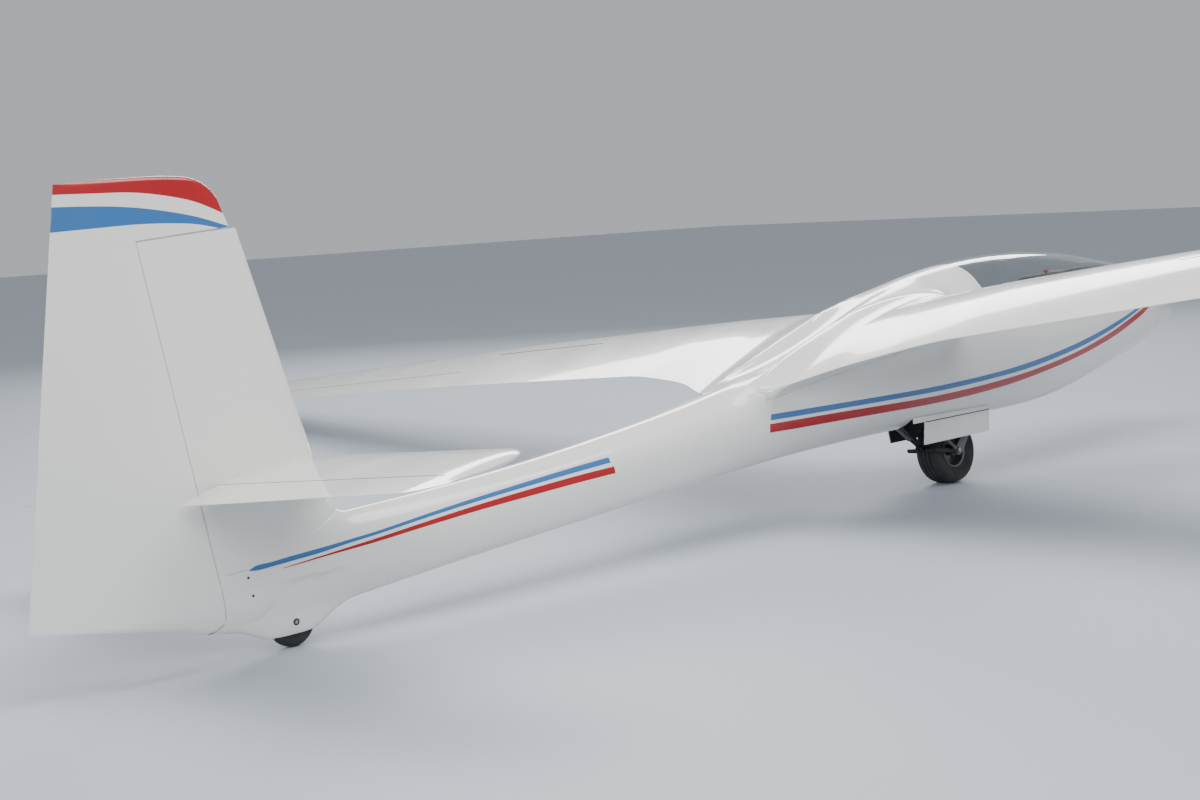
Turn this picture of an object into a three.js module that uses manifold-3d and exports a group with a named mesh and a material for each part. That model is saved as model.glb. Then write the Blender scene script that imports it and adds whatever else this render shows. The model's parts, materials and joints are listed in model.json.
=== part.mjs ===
// Single-seat sailplane glider, parked on its main wheel, tail wheel and left wing tip.
// Millimetres. Airframe axes: +X forward, +Y to the left wing, +Z up. The airframe's
// origin is on the ground line of the two wheels, just behind the main wheel; the last
// section turns the airframe to the attitude in which it parks.
import * as THREE from 'three';
import { mergeVertices } from 'three/addons/utils/BufferGeometryUtils.js';
import Module from 'manifold-3d';

const manifold = await Module();
manifold.setup();

// Driving dimensions
const GAP = 0.4;                 // between touching solids
const RUN = 6;                   // between a control surface and its channel
const RAD = Math.PI / 180;

const MAIN = { x: 34, radius: 162, width: 134, rim: 86, hubHalf: 54, bore: 12 };
const TAIL = { x: -3716, radius: 88, width: 50, rim: 42, hubHalf: 20, bore: 5 };
const AXLE = { main: 11.4, tail: 4.6, mainHalf: 90, tailHalf: 38 };

const BAY = { rear: -400, front: 215, half: 166, top: 590 };   // main wheel bay
const POD_JOIN_X = -1450;        // frame where the tail boom joins the pod
const WALL = 12;                 // pod skin with its stiffening

// Fuselage stations from the nose to the tail post:
// x, bottom, top, half width, height of the widest line, fullness of the oval
const FUSELAGE = [
  { x: 2236, bottom: 704, top: 720, half: 8, mid: 712, full: 2.0 },
  { x: 2222, bottom: 672, top: 752, half: 40, mid: 713, full: 2.0 },
  { x: 2150, bottom: 622, top: 815, half: 96, mid: 715, full: 2.05 },
  { x: 2000, bottom: 570, top: 893, half: 158, mid: 718, full: 2.1 },
  { x: 1800, bottom: 515, top: 966, half: 212, mid: 722, full: 2.15 },
  { x: 1430, bottom: 434, top: 1040, half: 264, mid: 712, full: 2.2 },
  { x: 1130, bottom: 376, top: 1086, half: 292, mid: 700, full: 2.25 },
  { x: 800, bottom: 328, top: 1112, half: 308, mid: 690, full: 2.3 },
  { x: 450, bottom: 314, top: 1112, half: 312, mid: 684, full: 2.3 },
  { x: 100, bottom: 318, top: 1082, half: 306, mid: 678, full: 2.3 },
  { x: -200, bottom: 318, top: 1032, half: 292, mid: 668, full: 2.3 },
  { x: -500, bottom: 316, top: 952, half: 268, mid: 644, full: 2.3 },
  { x: -800, bottom: 312, top: 838, half: 236, mid: 600, full: 2.25 },
  { x: -1100, bottom: 303, top: 740, half: 206, mid: 545, full: 2.2 },
  { x: -1450, bottom: 284, top: 656, half: 178, mid: 484, full: 2.15 },
  { x: -2000, bottom: 241, top: 566, half: 150, mid: 410, full: 2.1 },
  { x: -2600, bottom: 196, top: 494, half: 126, mid: 346, full: 2.1 },
  { x: -3250, bottom: 142, top: 446, half: 98, mid: 292, full: 2.1 },
  { x: -3560, bottom: 112, top: 432, half: 78, mid: 270, full: 2.1 },
  { x: -3900, bottom: 95, top: 424, half: 57, mid: 260, full: 2.3 },
  { x: -4060, bottom: 112, top: 424, half: 52, mid: 264, full: 2.5 },
];

// Wing stations: span position, leading edge x, trailing edge x, their heights, thickness
const WING = [
  { y: 130, lead: -138, trail: -1400, leadZ: 860, trailZ: 596, thick: 0.135 },
  { y: 300, lead: -144, trail: -1325, leadZ: 866, trailZ: 636, thick: 0.14 },
  { y: 500, lead: -150, trail: -1225, leadZ: 873, trailZ: 680, thick: 0.148 },
  { y: 750, lead: -155, trail: -1160, leadZ: 880, trailZ: 717, thick: 0.155 },
  { y: 1000, lead: -158, trail: -1117, leadZ: 887, trailZ: 742, thick: 0.16 },
  { y: 2000, lead: -171, trail: -1045, leadZ: 911, trailZ: 779, thick: 0.16 },
  { y: 2850, lead: -180, trail: -984, leadZ: 929, trailZ: 808, thick: 0.16 },
  { y: 7250, lead: -200, trail: -674, leadZ: 976, trailZ: 904, thick: 0.14 },
  { y: 7430, lead: -252, trail: -668, leadZ: 972, trailZ: 906, thick: 0.13 },
  { y: 7500, lead: -340, trail: -668, leadZ: 962, trailZ: 911, thick: 0.09 },
];
const WING_ROOT_Y = 130;
const CAMBER = 0.03;
const AILERON = { inner: 2855, outer: 6900, hinge: 0.80 };
const BRAKE = { inner: 1750, outer: 2750, at: 0.50, thick: 14, deep: 96, slot: 26 };

// Vertical tail, seen from the side: nose line, rudder hinge line and rear edge
const FIN = {
  noseFoot: [-3503, 400], noseTop: [-3736, 1450],
  hingeFoot: [-3995, 100], hingeTop: [-4116, 1450],
  rearFoot: [-4640, 190], rearTop: [-4343, 1654],
  thick: 0.115,
};
const HORN_Z = 1455;             // on the hinge line, below the rudder's horn

// Horizontal tail, low on the fin: one flat plane that falls towards the rear
const TAILPLANE = {
  half: 1485, leadRoot: -3548, leadTip: -3657, rootZ: 640, chordRoot: 592, chordTip: 414,
  drop: 0.132, thick: 0.1, hingeX: -3955, tube: 10,
};
// Each elevator's ends, across the airframe: at the hinge and where they would meet x = rear
const ELEVATOR = {
  inner: 68, innerRearX: -4150, innerRear: 138, outer: 1416, rear: -4400, outerRear: 1196,
};
// Stations of the tailplane: y, taken off in front and behind, share of the full thickness
const TAIL_STATIONS = [
  { y: 20, front: 0, rear: 0, thin: 1 },
  { y: 700, front: 0, rear: 0, thin: 1 },
  { y: 1300, front: 0, rear: 0, thin: 1 },
  { y: 1390, front: 30, rear: 0, thin: 0.95 },
  { y: 1440, front: 85, rear: 16, thin: 0.8 },
  { y: 1470, front: 150, rear: 40, thin: 0.55 },
  { y: 1485, front: 225, rear: 76, thin: 0.25 },
];

// Cockpit: rear and front of the canopy, sill and hinge
const CANOPY = {
  rear: 130, front: 1800, sillRear: 842, sillFront: 872, rim: 30, glass: 5, frame: 16,
  gap: 3, hingeY: -303, hingeZ: 838,
};
const CANOPY_HINGES = [250, 800];   // places along the right sill

// Shared shapes
function solidOf(geometry) {
  geometry.deleteAttribute('normal');
  geometry.deleteAttribute('uv');
  const merged = mergeVertices(geometry, 1e-4);
  return new manifold.Manifold(new manifold.Mesh({
    numProp: 3,
    vertProperties: new Float32Array(merged.attributes.position.array),
    triVerts: new Uint32Array(merged.index.array),
  }));
}

function geometryOf(solid) {
  const mesh = solid.getMesh();
  const geometry = new THREE.BufferGeometry();
  geometry.setAttribute('position', new THREE.BufferAttribute(mesh.vertProperties, 3));
  geometry.setIndex(new THREE.BufferAttribute(mesh.triVerts, 1));
  geometry.computeVertexNormals();
  return geometry;
}

function joined(...solids) {
  return solids.reduce((sum, solid) => sum.add(solid));
}

// Skins a row of closed rings that have the same number of points; ends are fans
function loft(rings) {
  const count = rings[0].length;
  const points = rings.flat();
  const faces = [];
  for (let i = 0; i + 1 < rings.length; i += 1) {
    for (let j = 0; j < count; j += 1) {
      const a = i * count + j;
      const b = i * count + (j + 1) % count;
      faces.push(a, b, b + count, a, b + count, a + count);
    }
  }
  const addCap = (first, flip) => {
    const centre = new THREE.Vector3();
    for (let j = 0; j < count; j += 1) centre.add(points[first + j]);
    points.push(centre.divideScalar(count));
    const hub = points.length - 1;
    for (let j = 0; j < count; j += 1) {
      const a = first + j;
      const b = first + (j + 1) % count;
      if (flip) faces.push(hub, b, a);
      else faces.push(hub, a, b);
    }
  };
  addCap(0, true);
  addCap((rings.length - 1) * count, false);
  const geometry = new THREE.BufferGeometry();
  const flat = points.flatMap((p) => [p.x, p.y, p.z]);
  geometry.setAttribute('position', new THREE.Float32BufferAttribute(flat, 3));
  geometry.setIndex(faces);
  return facingOut(geometry);
}

// The solid of an indexed geometry whose faces may all point inwards
function facingOut(geometry) {
  const solid = solidOf(geometry);
  if (solid.volume() > 0) return solid;
  const faces = Array.from(geometry.index.array);
  for (let i = 0; i < faces.length; i += 3) {
    [faces[i + 1], faces[i + 2]] = [faces[i + 2], faces[i + 1]];
  }
  geometry.setIndex(faces);
  return solidOf(geometry);
}

// A side outline of [x, z] corners, made solid across the airframe
function sidePrism(corners, yMin, yMax) {
  const shape = new THREE.Shape(corners.map(([x, z]) => new THREE.Vector2(x, z)));
  const geometry = new THREE.ExtrudeGeometry(shape, { depth: yMax - yMin, bevelEnabled: false });
  geometry.rotateX(Math.PI / 2).translate(0, yMax, 0);
  return solidOf(geometry);
}

// A plan outline of [x, y] corners, made solid upwards
function planPrism(corners, zMin, zMax) {
  const shape = new THREE.Shape(corners.map(([x, y]) => new THREE.Vector2(x, y)));
  const geometry = new THREE.ExtrudeGeometry(shape, { depth: zMax - zMin, bevelEnabled: false });
  geometry.translate(0, 0, zMin);
  return solidOf(geometry);
}

function block(x0, x1, y0, y1, z0, z1) {
  const geometry = new THREE.BoxGeometry(x1 - x0, y1 - y0, z1 - z0);
  geometry.translate((x0 + x1) / 2, (y0 + y1) / 2, (z0 + z1) / 2);
  return solidOf(geometry);
}

function rod(from, to, radius, sides = 12, endRadius = radius) {
  const along = new THREE.Vector3().subVectors(to, from);
  const geometry = new THREE.CylinderGeometry(endRadius, radius, along.length(), sides);
  const turn = new THREE.Quaternion().setFromUnitVectors(
    new THREE.Vector3(0, 1, 0), along.clone().normalize());
  geometry.applyQuaternion(turn);
  geometry.translate((from.x + to.x) / 2, (from.y + to.y) / 2, (from.z + to.z) / 2);
  return solidOf(geometry);
}

// A box laid along three unit directions from a corner-free centre
function slab(centre, u, v, w, lengths) {
  const geometry = new THREE.BoxGeometry(lengths[0], lengths[1], lengths[2]);
  geometry.applyMatrix4(new THREE.Matrix4().makeBasis(u, v, w).setPosition(centre));
  return solidOf(geometry);
}

function point(x, y, z) {
  return new THREE.Vector3(x, y, z);
}

function mix(a, b, t) {
  return a + (b - a) * t;
}

// Reads a table of stations at any place along one of its columns
function between(table, key, value) {
  const rising = table[1][key] > table[0][key];
  let i = 0;
  while (i + 2 < table.length && (rising ? value > table[i + 1][key] : value < table[i + 1][key])) {
    i += 1;
  }
  const t = (value - table[i][key]) / (table[i + 1][key] - table[i][key]);
  const row = {};
  for (const name of Object.keys(table[0])) row[name] = mix(table[i][name], table[i + 1][name], t);
  return row;
}

// Half the thickness of a section at a fraction of its chord, and its mean line's height
function halfAt(x, thick, blunt = 0.0018) {
  const grow = 0.2969 * Math.sqrt(x) - 0.126 * x - 0.3516 * x ** 2 + 0.2843 * x ** 3
    - 0.1036 * x ** 4;
  return 5 * thick * grow + blunt * x;
}

function meanAt(x, camber) {
  return camber * 4 * x * (1 - x);
}

// A section, as fractions of its chord: from the rear edge over the top and back below
function aerofoil(thick, camber, half = 9) {
  const ring = [];
  const side = (x, sign) => ({ along: x, up: meanAt(x, camber) + sign * halfAt(x, thick) });
  for (let i = 0; i <= half; i += 1) ring.push(side((1 + Math.cos(Math.PI * i / half)) / 2, 1));
  for (let i = 1; i <= half; i += 1) ring.push(side((1 - Math.cos(Math.PI * i / half)) / 2, -1));
  return ring;
}

// Fuselage
function fuselageRing(row, inset = 0, count = 24) {
  const ring = [];
  for (let i = 0; i < count; i += 1) {
    const angle = 2 * Math.PI * i / count;
    const c = Math.cos(angle);
    const s = Math.sin(angle);
    const power = 2 / row.full;
    const rise = s > 0 ? row.top - row.mid : row.mid - row.bottom;
    ring.push(point(
      row.x,
      Math.sign(c) * Math.abs(c) ** power * Math.max(row.half - inset, 1),
      row.mid + Math.sign(s) * Math.abs(s) ** power * Math.max(rise - inset, 1)));
  }
  return ring;
}

function fuselageLoft(fromX, toX, inset = 0) {
  const rows = FUSELAGE.filter((row) => row.x < fromX && row.x > toX);
  const all = [between(FUSELAGE, 'x', fromX), ...rows, between(FUSELAGE, 'x', toX)];
  return loft(all.map((row) => fuselageRing(row, inset)));
}

const noseX = FUSELAGE[0].x;
const tailPostX = FUSELAGE[FUSELAGE.length - 1].x;

// The space that the canopy and its frame fill, seen from the side
function canopyOutline(shrink) {
  const { rear, front, sillRear, sillFront } = CANOPY;
  return [
    [rear + 22 + shrink, 1200],
    [rear + shrink, 940],
    [rear + 6 + shrink, 890 + shrink],
    [rear + 42 + shrink, sillRear + shrink],
    [mix(rear, front, 0.5), mix(sillRear, sillFront, 0.42) - 8 + shrink],
    [front - 60 - shrink, sillFront + shrink],
    [front - 12 - shrink, 910 + shrink * 0.5],
    [front - shrink, 1200],
  ];
}

function makePod() {
  const outer = fuselageLoft(noseX, POD_JOIN_X + GAP);
  const room = sidePrism([
    [2120, 500], [2120, 1200], [60, 1200], [70, 985], [330, 620], [420, 300], [2120, 300],
  ], -400, 400);
  const cabin = fuselageLoft(2130, 20, WALL).intersect(room);
  const mouth = sidePrism(canopyOutline(-CANOPY.gap), -400, 400);
  const { rear, front, half, top } = BAY;
  const bay = block(rear, front, -half, half, 200, top);
  const hinges = CANOPY_HINGES.map(makeSillHinge);
  return outer.subtract(cabin).subtract(mouth).subtract(bay)
    .subtract(joined(...hinges.map((hinge) => hinge.clearance)))
    .add(joined(...hinges.map((hinge) => hinge.fixed)));
}

// A barrel hinge beside the right sill: a middle knuckle with its pin, and two canopy knuckles
function makeSillHinge(x) {
  const { hingeY: y, hingeZ: z } = CANOPY;
  const along = (from, to, radius) => rod(point(x + from, y, z), point(x + to, y, z), radius, 16);
  const strap = (from, to, inner, low, high) => block(
    x + from, x + to, y - 3, y + inner, z + low, z + high);
  const fixed = joined(along(-12, 12, 6), strap(-12, 12, 16, -20, 0), along(-28, 28, 2.8));
  const knuckle = (from, to) => joined(along(from, to, 6), strap(from, to, 4, 0, 24),
    strap(from, to, 16, 12, 24));
  const moving = joined(knuckle(-27, -13), knuckle(13, 27)).subtract(along(-30, 30, 3.4));
  return { fixed, moving, clearance: along(-33, 33, 11) };
}

function makeCanopyParts() {
  const skin = fuselageLoft(1990, 60);
  const rimSkin = skin.subtract(fuselageLoft(2000, 50, CANOPY.frame));
  const glassSkin = skin.subtract(fuselageLoft(2000, 50, CANOPY.glass));
  const whole = sidePrism(canopyOutline(0), -400, 400);
  const inside = sidePrism(canopyOutline(CANOPY.rim), -400, 400);
  const pane = sidePrism(canopyOutline(CANOPY.rim + GAP), -400, 400);
  return {
    frame: joined(rimSkin.intersect(whole).subtract(inside),
      ...CANOPY_HINGES.map((x) => makeSillHinge(x).moving)),
    glass: glassSkin.intersect(pane),
  };
}

// Wings
function wingRing(row, side) {
  const chord = point(row.trail - row.lead, 0, row.trailZ - row.leadZ);
  const length = chord.length();
  const back = chord.clone().normalize();
  const up = point(-back.z, 0, back.x).multiplyScalar(-1);
  return aerofoil(row.thick, CAMBER).map(({ along, up: high }) => point(
    row.lead + back.x * along * length + up.x * high * length,
    side * row.y,
    row.leadZ + back.z * along * length + up.z * high * length));
}

function wingLoft(side, fromY = WING_ROOT_Y, toY = 7500) {
  const rows = WING.filter((row) => row.y > fromY && row.y < toY);
  const all = [between(WING, 'y', fromY), ...rows, between(WING, 'y', toY)];
  return loft(all.map((row) => wingRing(row, side)));
}

// A place on the wing's mean line
function meanPoint(y, fraction, side) {
  const row = between(WING, 'y', y);
  const lift = meanAt(fraction, CAMBER) * (row.lead - row.trail);
  return point(mix(row.lead, row.trail, fraction), side * y,
    mix(row.leadZ, row.trailZ, fraction) + lift);
}

function wingHalf(y, fraction) {
  const row = between(WING, 'y', y);
  return halfAt(fraction, row.thick) * (row.lead - row.trail);
}

// Hinge brackets with pins: what the fixed part gains and what the moving part loses
function hingeSet(start, end, forward, reach, places) {
  const along = new THREE.Vector3().subVectors(end, start).normalize();
  const across = new THREE.Vector3().crossVectors(along, forward).normalize();
  const ahead = new THREE.Vector3().crossVectors(across, along).normalize();
  const gains = [];
  const losses = [];
  for (const place of places) {
    const spot = new THREE.Vector3().lerpVectors(start, end, place);
    const at = (distance, shift = 0) => spot.clone().addScaledVector(ahead, distance)
      .addScaledVector(along, shift);
    gains.push(slab(at((reach + 16 - 6) / 2), along, ahead, across, [8, reach + 22, 8]));
    gains.push(rod(at(0, -16), at(0, 16), 3.2, 8));
    losses.push(slab(at((reach + 30 - 14) / 2), along, ahead, across, [19, reach + 44, 90]));
    losses.push(rod(at(0, -19), at(0, 19), 4, 8));
  }
  return { gains: joined(...gains), losses: joined(...losses) };
}

function makeWingParts(side) {
  const whole = wingLoft(side);
  const spot = (y) => meanPoint(y, AILERON.hinge, side);
  const noseAt = (y) => wingHalf(y, AILERON.hinge) - 1;
  const behind = (fromY, toY) => {
    const a = spot(fromY);
    const b = spot(toY);
    return planPrism([[a.x, a.y], [b.x, b.y], [b.x - 400, b.y], [a.x - 400, a.y]], 500, 1200);
  };
  const { inner, outer } = AILERON;
  const nose = (fromY, toY, grow) => rod(spot(fromY), spot(toY), noseAt(fromY) + grow, 16,
    noseAt(toY) + grow);
  const hinges = hingeSet(spot(inner), spot(outer), point(1, 0, 0), noseAt(inner),
    [0.06, 0.35, 0.65, 0.94]);
  const surface = whole.intersect(behind(inner + RUN, outer - RUN))
    .add(nose(inner + RUN, outer - RUN, 0).intersect(whole)).subtract(hinges.losses);
  const brake = makeBrake(side);
  const body = fuselageLoft(100, POD_JOIN_X - 200, -GAP);
  const wing = whole.subtract(behind(inner, outer)).subtract(nose(inner, outer, RUN))
    .subtract(body).subtract(brake.slot).add(hinges.gains);
  return { wing, surface, plate: brake.plate };
}

// Airbrake blade, standing in its slot flush with the wing's upper face
function makeBrake(side) {
  const inner = meanPoint(BRAKE.inner, BRAKE.at, side);
  const outer = meanPoint(BRAKE.outer, BRAKE.at, side);
  const bar = (half, topShift, bottom, inset) => {
    const end = (spot, y, sign) => {
      const top = spot.z + wingHalf(y, BRAKE.at) + topShift;
      return [
        point(spot.x - half, spot.y - side * sign * inset, bottom + top),
        point(spot.x + half, spot.y - side * sign * inset, bottom + top),
        point(spot.x + half, spot.y - side * sign * inset, top),
        point(spot.x - half, spot.y - side * sign * inset, top),
      ];
    };
    return loft([end(inner, BRAKE.inner, -1), end(outer, BRAKE.outer, 1)]);
  };
  return {
    plate: bar(BRAKE.thick / 2, -2, -BRAKE.deep, 0.5),
    slot: bar(BRAKE.slot / 2, 60, -BRAKE.deep - 70, 0),
  };
}

// Vertical tail
function lineAt([x0, z0], [x1, z1], z) {
  return mix(x0, x1, (z - z0) / (z1 - z0));
}

function finRing(z, grow = 0) {
  const nose = lineAt(FIN.noseFoot, FIN.noseTop, z);
  const rear = lineAt(FIN.rearFoot, FIN.rearTop, z);
  return aerofoil(FIN.thick + grow / (nose - rear), 0).map(({ along, up }) => point(
    mix(nose, rear, along), up * (nose - rear), z));
}

function finLoft(fromZ, toZ, grow = 0) {
  const steps = [0, 0.5, 1];
  return loft(steps.map((t) => finRing(mix(fromZ, toZ, t), grow)));
}

const hingeFoot = point(FIN.hingeFoot[0], 0, FIN.hingeFoot[1]);
const hingeTop = point(FIN.hingeTop[0], 0, FIN.hingeTop[1]);
const hingeLine = new THREE.Vector3().subVectors(hingeTop, hingeFoot).normalize();

function hingePoint(z) {
  return hingeFoot.clone().addScaledVector(hingeLine, (z - hingeFoot.z) / hingeLine.z);
}

// Half the vertical tail's thickness at the rudder hinge
function hingeHalf(z) {
  const nose = lineAt(FIN.noseFoot, FIN.noseTop, z);
  const rear = lineAt(FIN.rearFoot, FIN.rearTop, z);
  return halfAt((nose - hingePoint(z).x) / (nose - rear), FIN.thick) * (nose - rear);
}

function makeTailParts() {
  const tall = finLoft(60, 1700);
  const low = 90;
  const high = 1640;
  const footZ = 172;             // where the rudder's foot begins to curve back
  const noseRod = (grow) => rod(hingePoint(low - 20), hingePoint(high), hingeHalf(low) - 1 + grow,
    16, hingeHalf(high) - 1 + grow);
  // Lines square to the hinge, where the horn passes over the fin
  const square = (reach, shift) => {
    const spot = hingePoint(HORN_Z + shift);
    return [spot.x + reach * hingeLine.z, spot.z - reach * hingeLine.x];
  };
  const hornFront = lineAt(FIN.noseFoot, FIN.noseTop, 1480);
  const hornOutline = sidePrism([
    square(-20, 0), square(hingePoint(HORN_Z).x * -1 + hornFront + 8, 0),
    [hornFront - 14, 1540], [-3800, 1600], [-3842, 1640], [-3905, 1660], [-4120, 1662],
  ], -90, 90);
  const rear = sidePrism([
    [hingePoint(104).x, 104], [hingePoint(HORN_Z).x, HORN_Z], [hingePoint(1662).x, 1662],
    [-4343, 1654], [-4640, 228],
  ], -90, 90);
  const footCut = sidePrism([
    [-3800, 40], [-3800, footZ], [-3990, footZ], [-4004, 142], [-4034, 120], [-4060, 116],
    [-4700, 243], [-4700, 40],
  ], -100, 100);
  const topCut = sidePrism([[-3700, 1500], [-3700, 1800], [-4500, 1800], [-4500, 1662.5],
    [-4343, 1654.5], [-3905, 1660.5], [-3842, 1640.5], [-3800, 1600.5], [-3765, 1530]], -100, 100);
  const hinges = hingeSet(hingePoint(160), hingePoint(1400), point(1, 0, 0), hingeHalf(160),
    [0.03, 0.36, 0.7, 0.97]);
  let rudder = tall.intersect(joined(rear, hornOutline)).add(noseRod(0).intersect(tall));
  rudder = rudder.subtract(footCut).subtract(topCut).subtract(hinges.losses);

  const finOutline = sidePrism([
    [-3400, 380], [hingePoint(380).x, 380], square(0, -RUN), square(400, -RUN), [-3400, 1500],
  ], -90, 90);
  const boom = fuselageLoft(POD_JOIN_X - GAP, tailPostX);
  const finBack = sidePrism([
    [hingePoint(380).x, 380], [hingePoint(HORN_Z).x, HORN_Z], [-4700, HORN_Z], [-4700, 380],
  ], -200, 200);
  const tailBack = sidePrism([
    [hingePoint(20).x, 20], [hingePoint(500).x, 500], [-4700, 500], [-4700, 20],
  ], -200, 200);
  const fin = tall.intersect(finOutline).subtract(finBack);
  const wheelFairing = loft([
    [-3490, 30, 150], [-3550, 42, 92], [-3630, 46, 46], [-3790, 46, 44], [-3890, 42, 84],
  ].map(([x, half, bottom]) => fuselageRing({ x, bottom, top: 200, half, mid: 150, full: 2.4 })));
  const wheelWell = rod(point(TAIL.x, -30, TAIL.radius), point(TAIL.x, 30, TAIL.radius),
    TAIL.radius + 8, 28);
  let rearBody = joined(boom, fin, wheelFairing).subtract(tailBack).subtract(noseRod(RUN))
    .subtract(wheelWell).subtract(axle(TAIL, AXLE.tail + GAP, 80)).add(hinges.gains);
  rearBody = rearBody.subtract(rod(elevatorHinge(-120), elevatorHinge(120),
    TAILPLANE.tube + RUN, 16));
  return { rearBody, rudder };
}

// Horizontal tail
function tailRow(y) {
  const t = y / TAILPLANE.half;
  const lead = mix(TAILPLANE.leadRoot, TAILPLANE.leadTip, t);
  return { lead, chord: mix(TAILPLANE.chordRoot, TAILPLANE.chordTip, t), z: planeZ(lead) };
}

function planeZ(x) {
  return TAILPLANE.rootZ - TAILPLANE.drop * (TAILPLANE.leadRoot - x);
}

function tailplaneLoft(side) {
  const { drop, thick } = TAILPLANE;
  return loft(TAIL_STATIONS.map(({ y, front, rear, thin }) => {
    const row = tailRow(y);
    const lead = row.lead - front;
    const chord = row.chord - front - rear;
    return aerofoil(thick * thin, 0).map(({ along, up }) => point(
      lead - along * chord - up * chord * drop, side * y, planeZ(lead - along * chord) + up * chord));
  }));
}

function elevatorHinge(y) {
  return point(TAILPLANE.hingeX, y, planeZ(TAILPLANE.hingeX));
}

// The tube that turns both elevators together, through the foot of the fin
function makeElevatorTube() {
  const half = ELEVATOR.inner - GAP;
  return rod(elevatorHinge(-half), elevatorHinge(half), TAILPLANE.tube, 16);
}

function makeTailplaneParts(side) {
  const whole = tailplaneLoft(side);
  const { hingeX, thick } = TAILPLANE;
  const { inner, innerRearX, innerRear, outer, rear, outerRear } = ELEVATOR;
  const noseAt = (y) => {
    const row = tailRow(y);
    return halfAt((row.lead - hingeX) / row.chord, thick) * row.chord - 1;
  };
  const start = elevatorHinge(side * inner);
  const end = elevatorHinge(side * outer);
  const across = (corners) => planPrism(corners.map(([x, y]) => [x, side * y]), 400, 800);
  const channel = rod(elevatorHinge(0), end, noseAt(0) + RUN, 16, noseAt(outer) + RUN);
  const bay = across([[hingeX + 3, 0], [hingeX + 3, outer], [rear, outerRear], [rear, 0]]);
  const nose = rod(start, elevatorHinge(side * (outer - RUN)), noseAt(inner), 16, noseAt(outer));
  const blade = across([
    [hingeX, inner], [hingeX, outer - RUN], [rear, outerRear - RUN], [rear, innerRear],
    [innerRearX, innerRear], [hingeX - 25, inner + 14],
  ]);
  const hinges = hingeSet(start, end, point(1, 0, 0), noseAt(inner), [0.12, 0.52, 0.93]);
  const surface = whole.intersect(blade).add(nose.intersect(whole)).subtract(hinges.losses);
  const finSide = finLoft(400, 900, 2 * GAP);
  const fixed = whole.subtract(bay).subtract(channel).subtract(finSide).add(hinges.gains);
  return { fixed, surface };
}

// Wheels: closed [radius, along] profiles turned about the axle, which lies across the airframe
function wheelSolid(profile, wheel, segments) {
  const points = [...profile, profile[0]].map(([radius, along]) => new THREE.Vector2(radius, along));
  const geometry = new THREE.LatheGeometry(points, segments);
  geometry.translate(wheel.x, 0, wheel.radius);
  return facingOut(geometry);
}

function tyre(wheel) {
  const half = wheel.width / 2;
  const crown = [];
  const steps = 6;
  for (let i = 0; i <= steps; i += 1) {
    const angle = mix(-88, 88, i / steps) * RAD;
    const depth = wheel.radius - wheel.rim;
    crown.push([wheel.rim + depth * 0.42 + depth * 0.58 * Math.cos(angle) ** 0.8,
      half * Math.sin(angle)]);
  }
  return wheelSolid([[wheel.rim, -half * 0.74], ...crown, [wheel.rim, half * 0.74]], wheel, 36);
}

function hub(wheel, holes) {
  const half = wheel.hubHalf;
  const rim = wheel.rim - GAP;
  const web = half * 0.2;
  let solid = wheelSolid([
    [wheel.bore, half], [wheel.bore, -half], [wheel.bore * 2.1, -half],
    [wheel.bore * 2.1, -web], [rim * 0.86, -web], [rim * 0.88, -half * 0.9],
    [rim, -half * 0.9], [rim, half * 0.9], [rim * 0.88, half * 0.9], [rim * 0.86, web],
    [wheel.bore * 2.1, web], [wheel.bore * 2.1, half],
  ], wheel, 20);
  for (let i = 0; i < holes; i += 1) {
    const angle = 2 * Math.PI * i / holes;
    const x = wheel.x + rim * 0.57 * Math.cos(angle);
    const z = wheel.radius + rim * 0.57 * Math.sin(angle);
    solid = solid.subtract(rod(point(x, -half, z), point(x, half, z), rim * 0.13, 10));
  }
  return solid;
}

function axle(wheel, radius, half) {
  return rod(point(wheel.x, -half, wheel.radius), point(wheel.x, half, wheel.radius), radius, 16);
}

// Landing gear: a fork with two legs in front and two arms that meet behind the tyre, a strut
// beside each arm, and a damper in the middle
const FORK = {
  legY: 80, legHalf: 5, topX: 176, topZ: 405, tube: 14, kneeX: 172, kneeZ: 300,
  rearX: -160, rearZ: 185, brace: 8,
};
const STRUT = { radius: 10, footX: -4, footZ: 174, headZ: 512 };
const DAMPER = { radius: 9, headZ: 384 };

function makeGear() {
  const { x, radius: z } = MAIN;
  const { legY, legHalf, topX, topZ, tube, kneeX, kneeZ, rearX, rearZ, brace } = FORK;
  const hole = axle(MAIN, AXLE.main + GAP, 120);
  const legs = [-1, 1].map((side) => sidePrism([
    [x - 24, z - 24], [x + 20, z - 26], [x + 32, z - 4], [kneeX + 14, kneeZ - 8],
    [topX + 14, topZ], [topX - 14, topZ], [kneeX - 14, kneeZ + 4], [x + 2, z + 34],
    [rearX, rearZ + 10], [rearX, rearZ - 10],
  ], side * legY - legHalf, side * legY + legHalf).subtract(hole));
  const across = (atX, half, atZ, thick) => rod(point(atX, -half, atZ), point(atX, half, atZ),
    thick, 12);
  const bridge = across(topX, BAY.half - GAP, topZ, tube);
  const rearBrace = across(rearX, legY + legHalf - 1, rearZ, brace);
  const toWall = (radius) => BAY.rear + GAP + radius * 0.66;
  const strutY = legY + legHalf + STRUT.radius + GAP;
  const struts = [-1, 1].map((side) => rod(point(STRUT.footX, side * strutY, STRUT.footZ),
    point(toWall(STRUT.radius), side * strutY, STRUT.headZ), STRUT.radius, 12));
  const head = point(toWall(DAMPER.radius), 0, DAMPER.headZ);
  const foot = point(rearX, 0, rearZ);
  foot.addScaledVector(head.clone().sub(foot).normalize(), brace + GAP);
  const damper = rod(foot, head, DAMPER.radius, 12);
  return { fork: joined(...legs, bridge, rearBrace), struts, damper };
}

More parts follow.
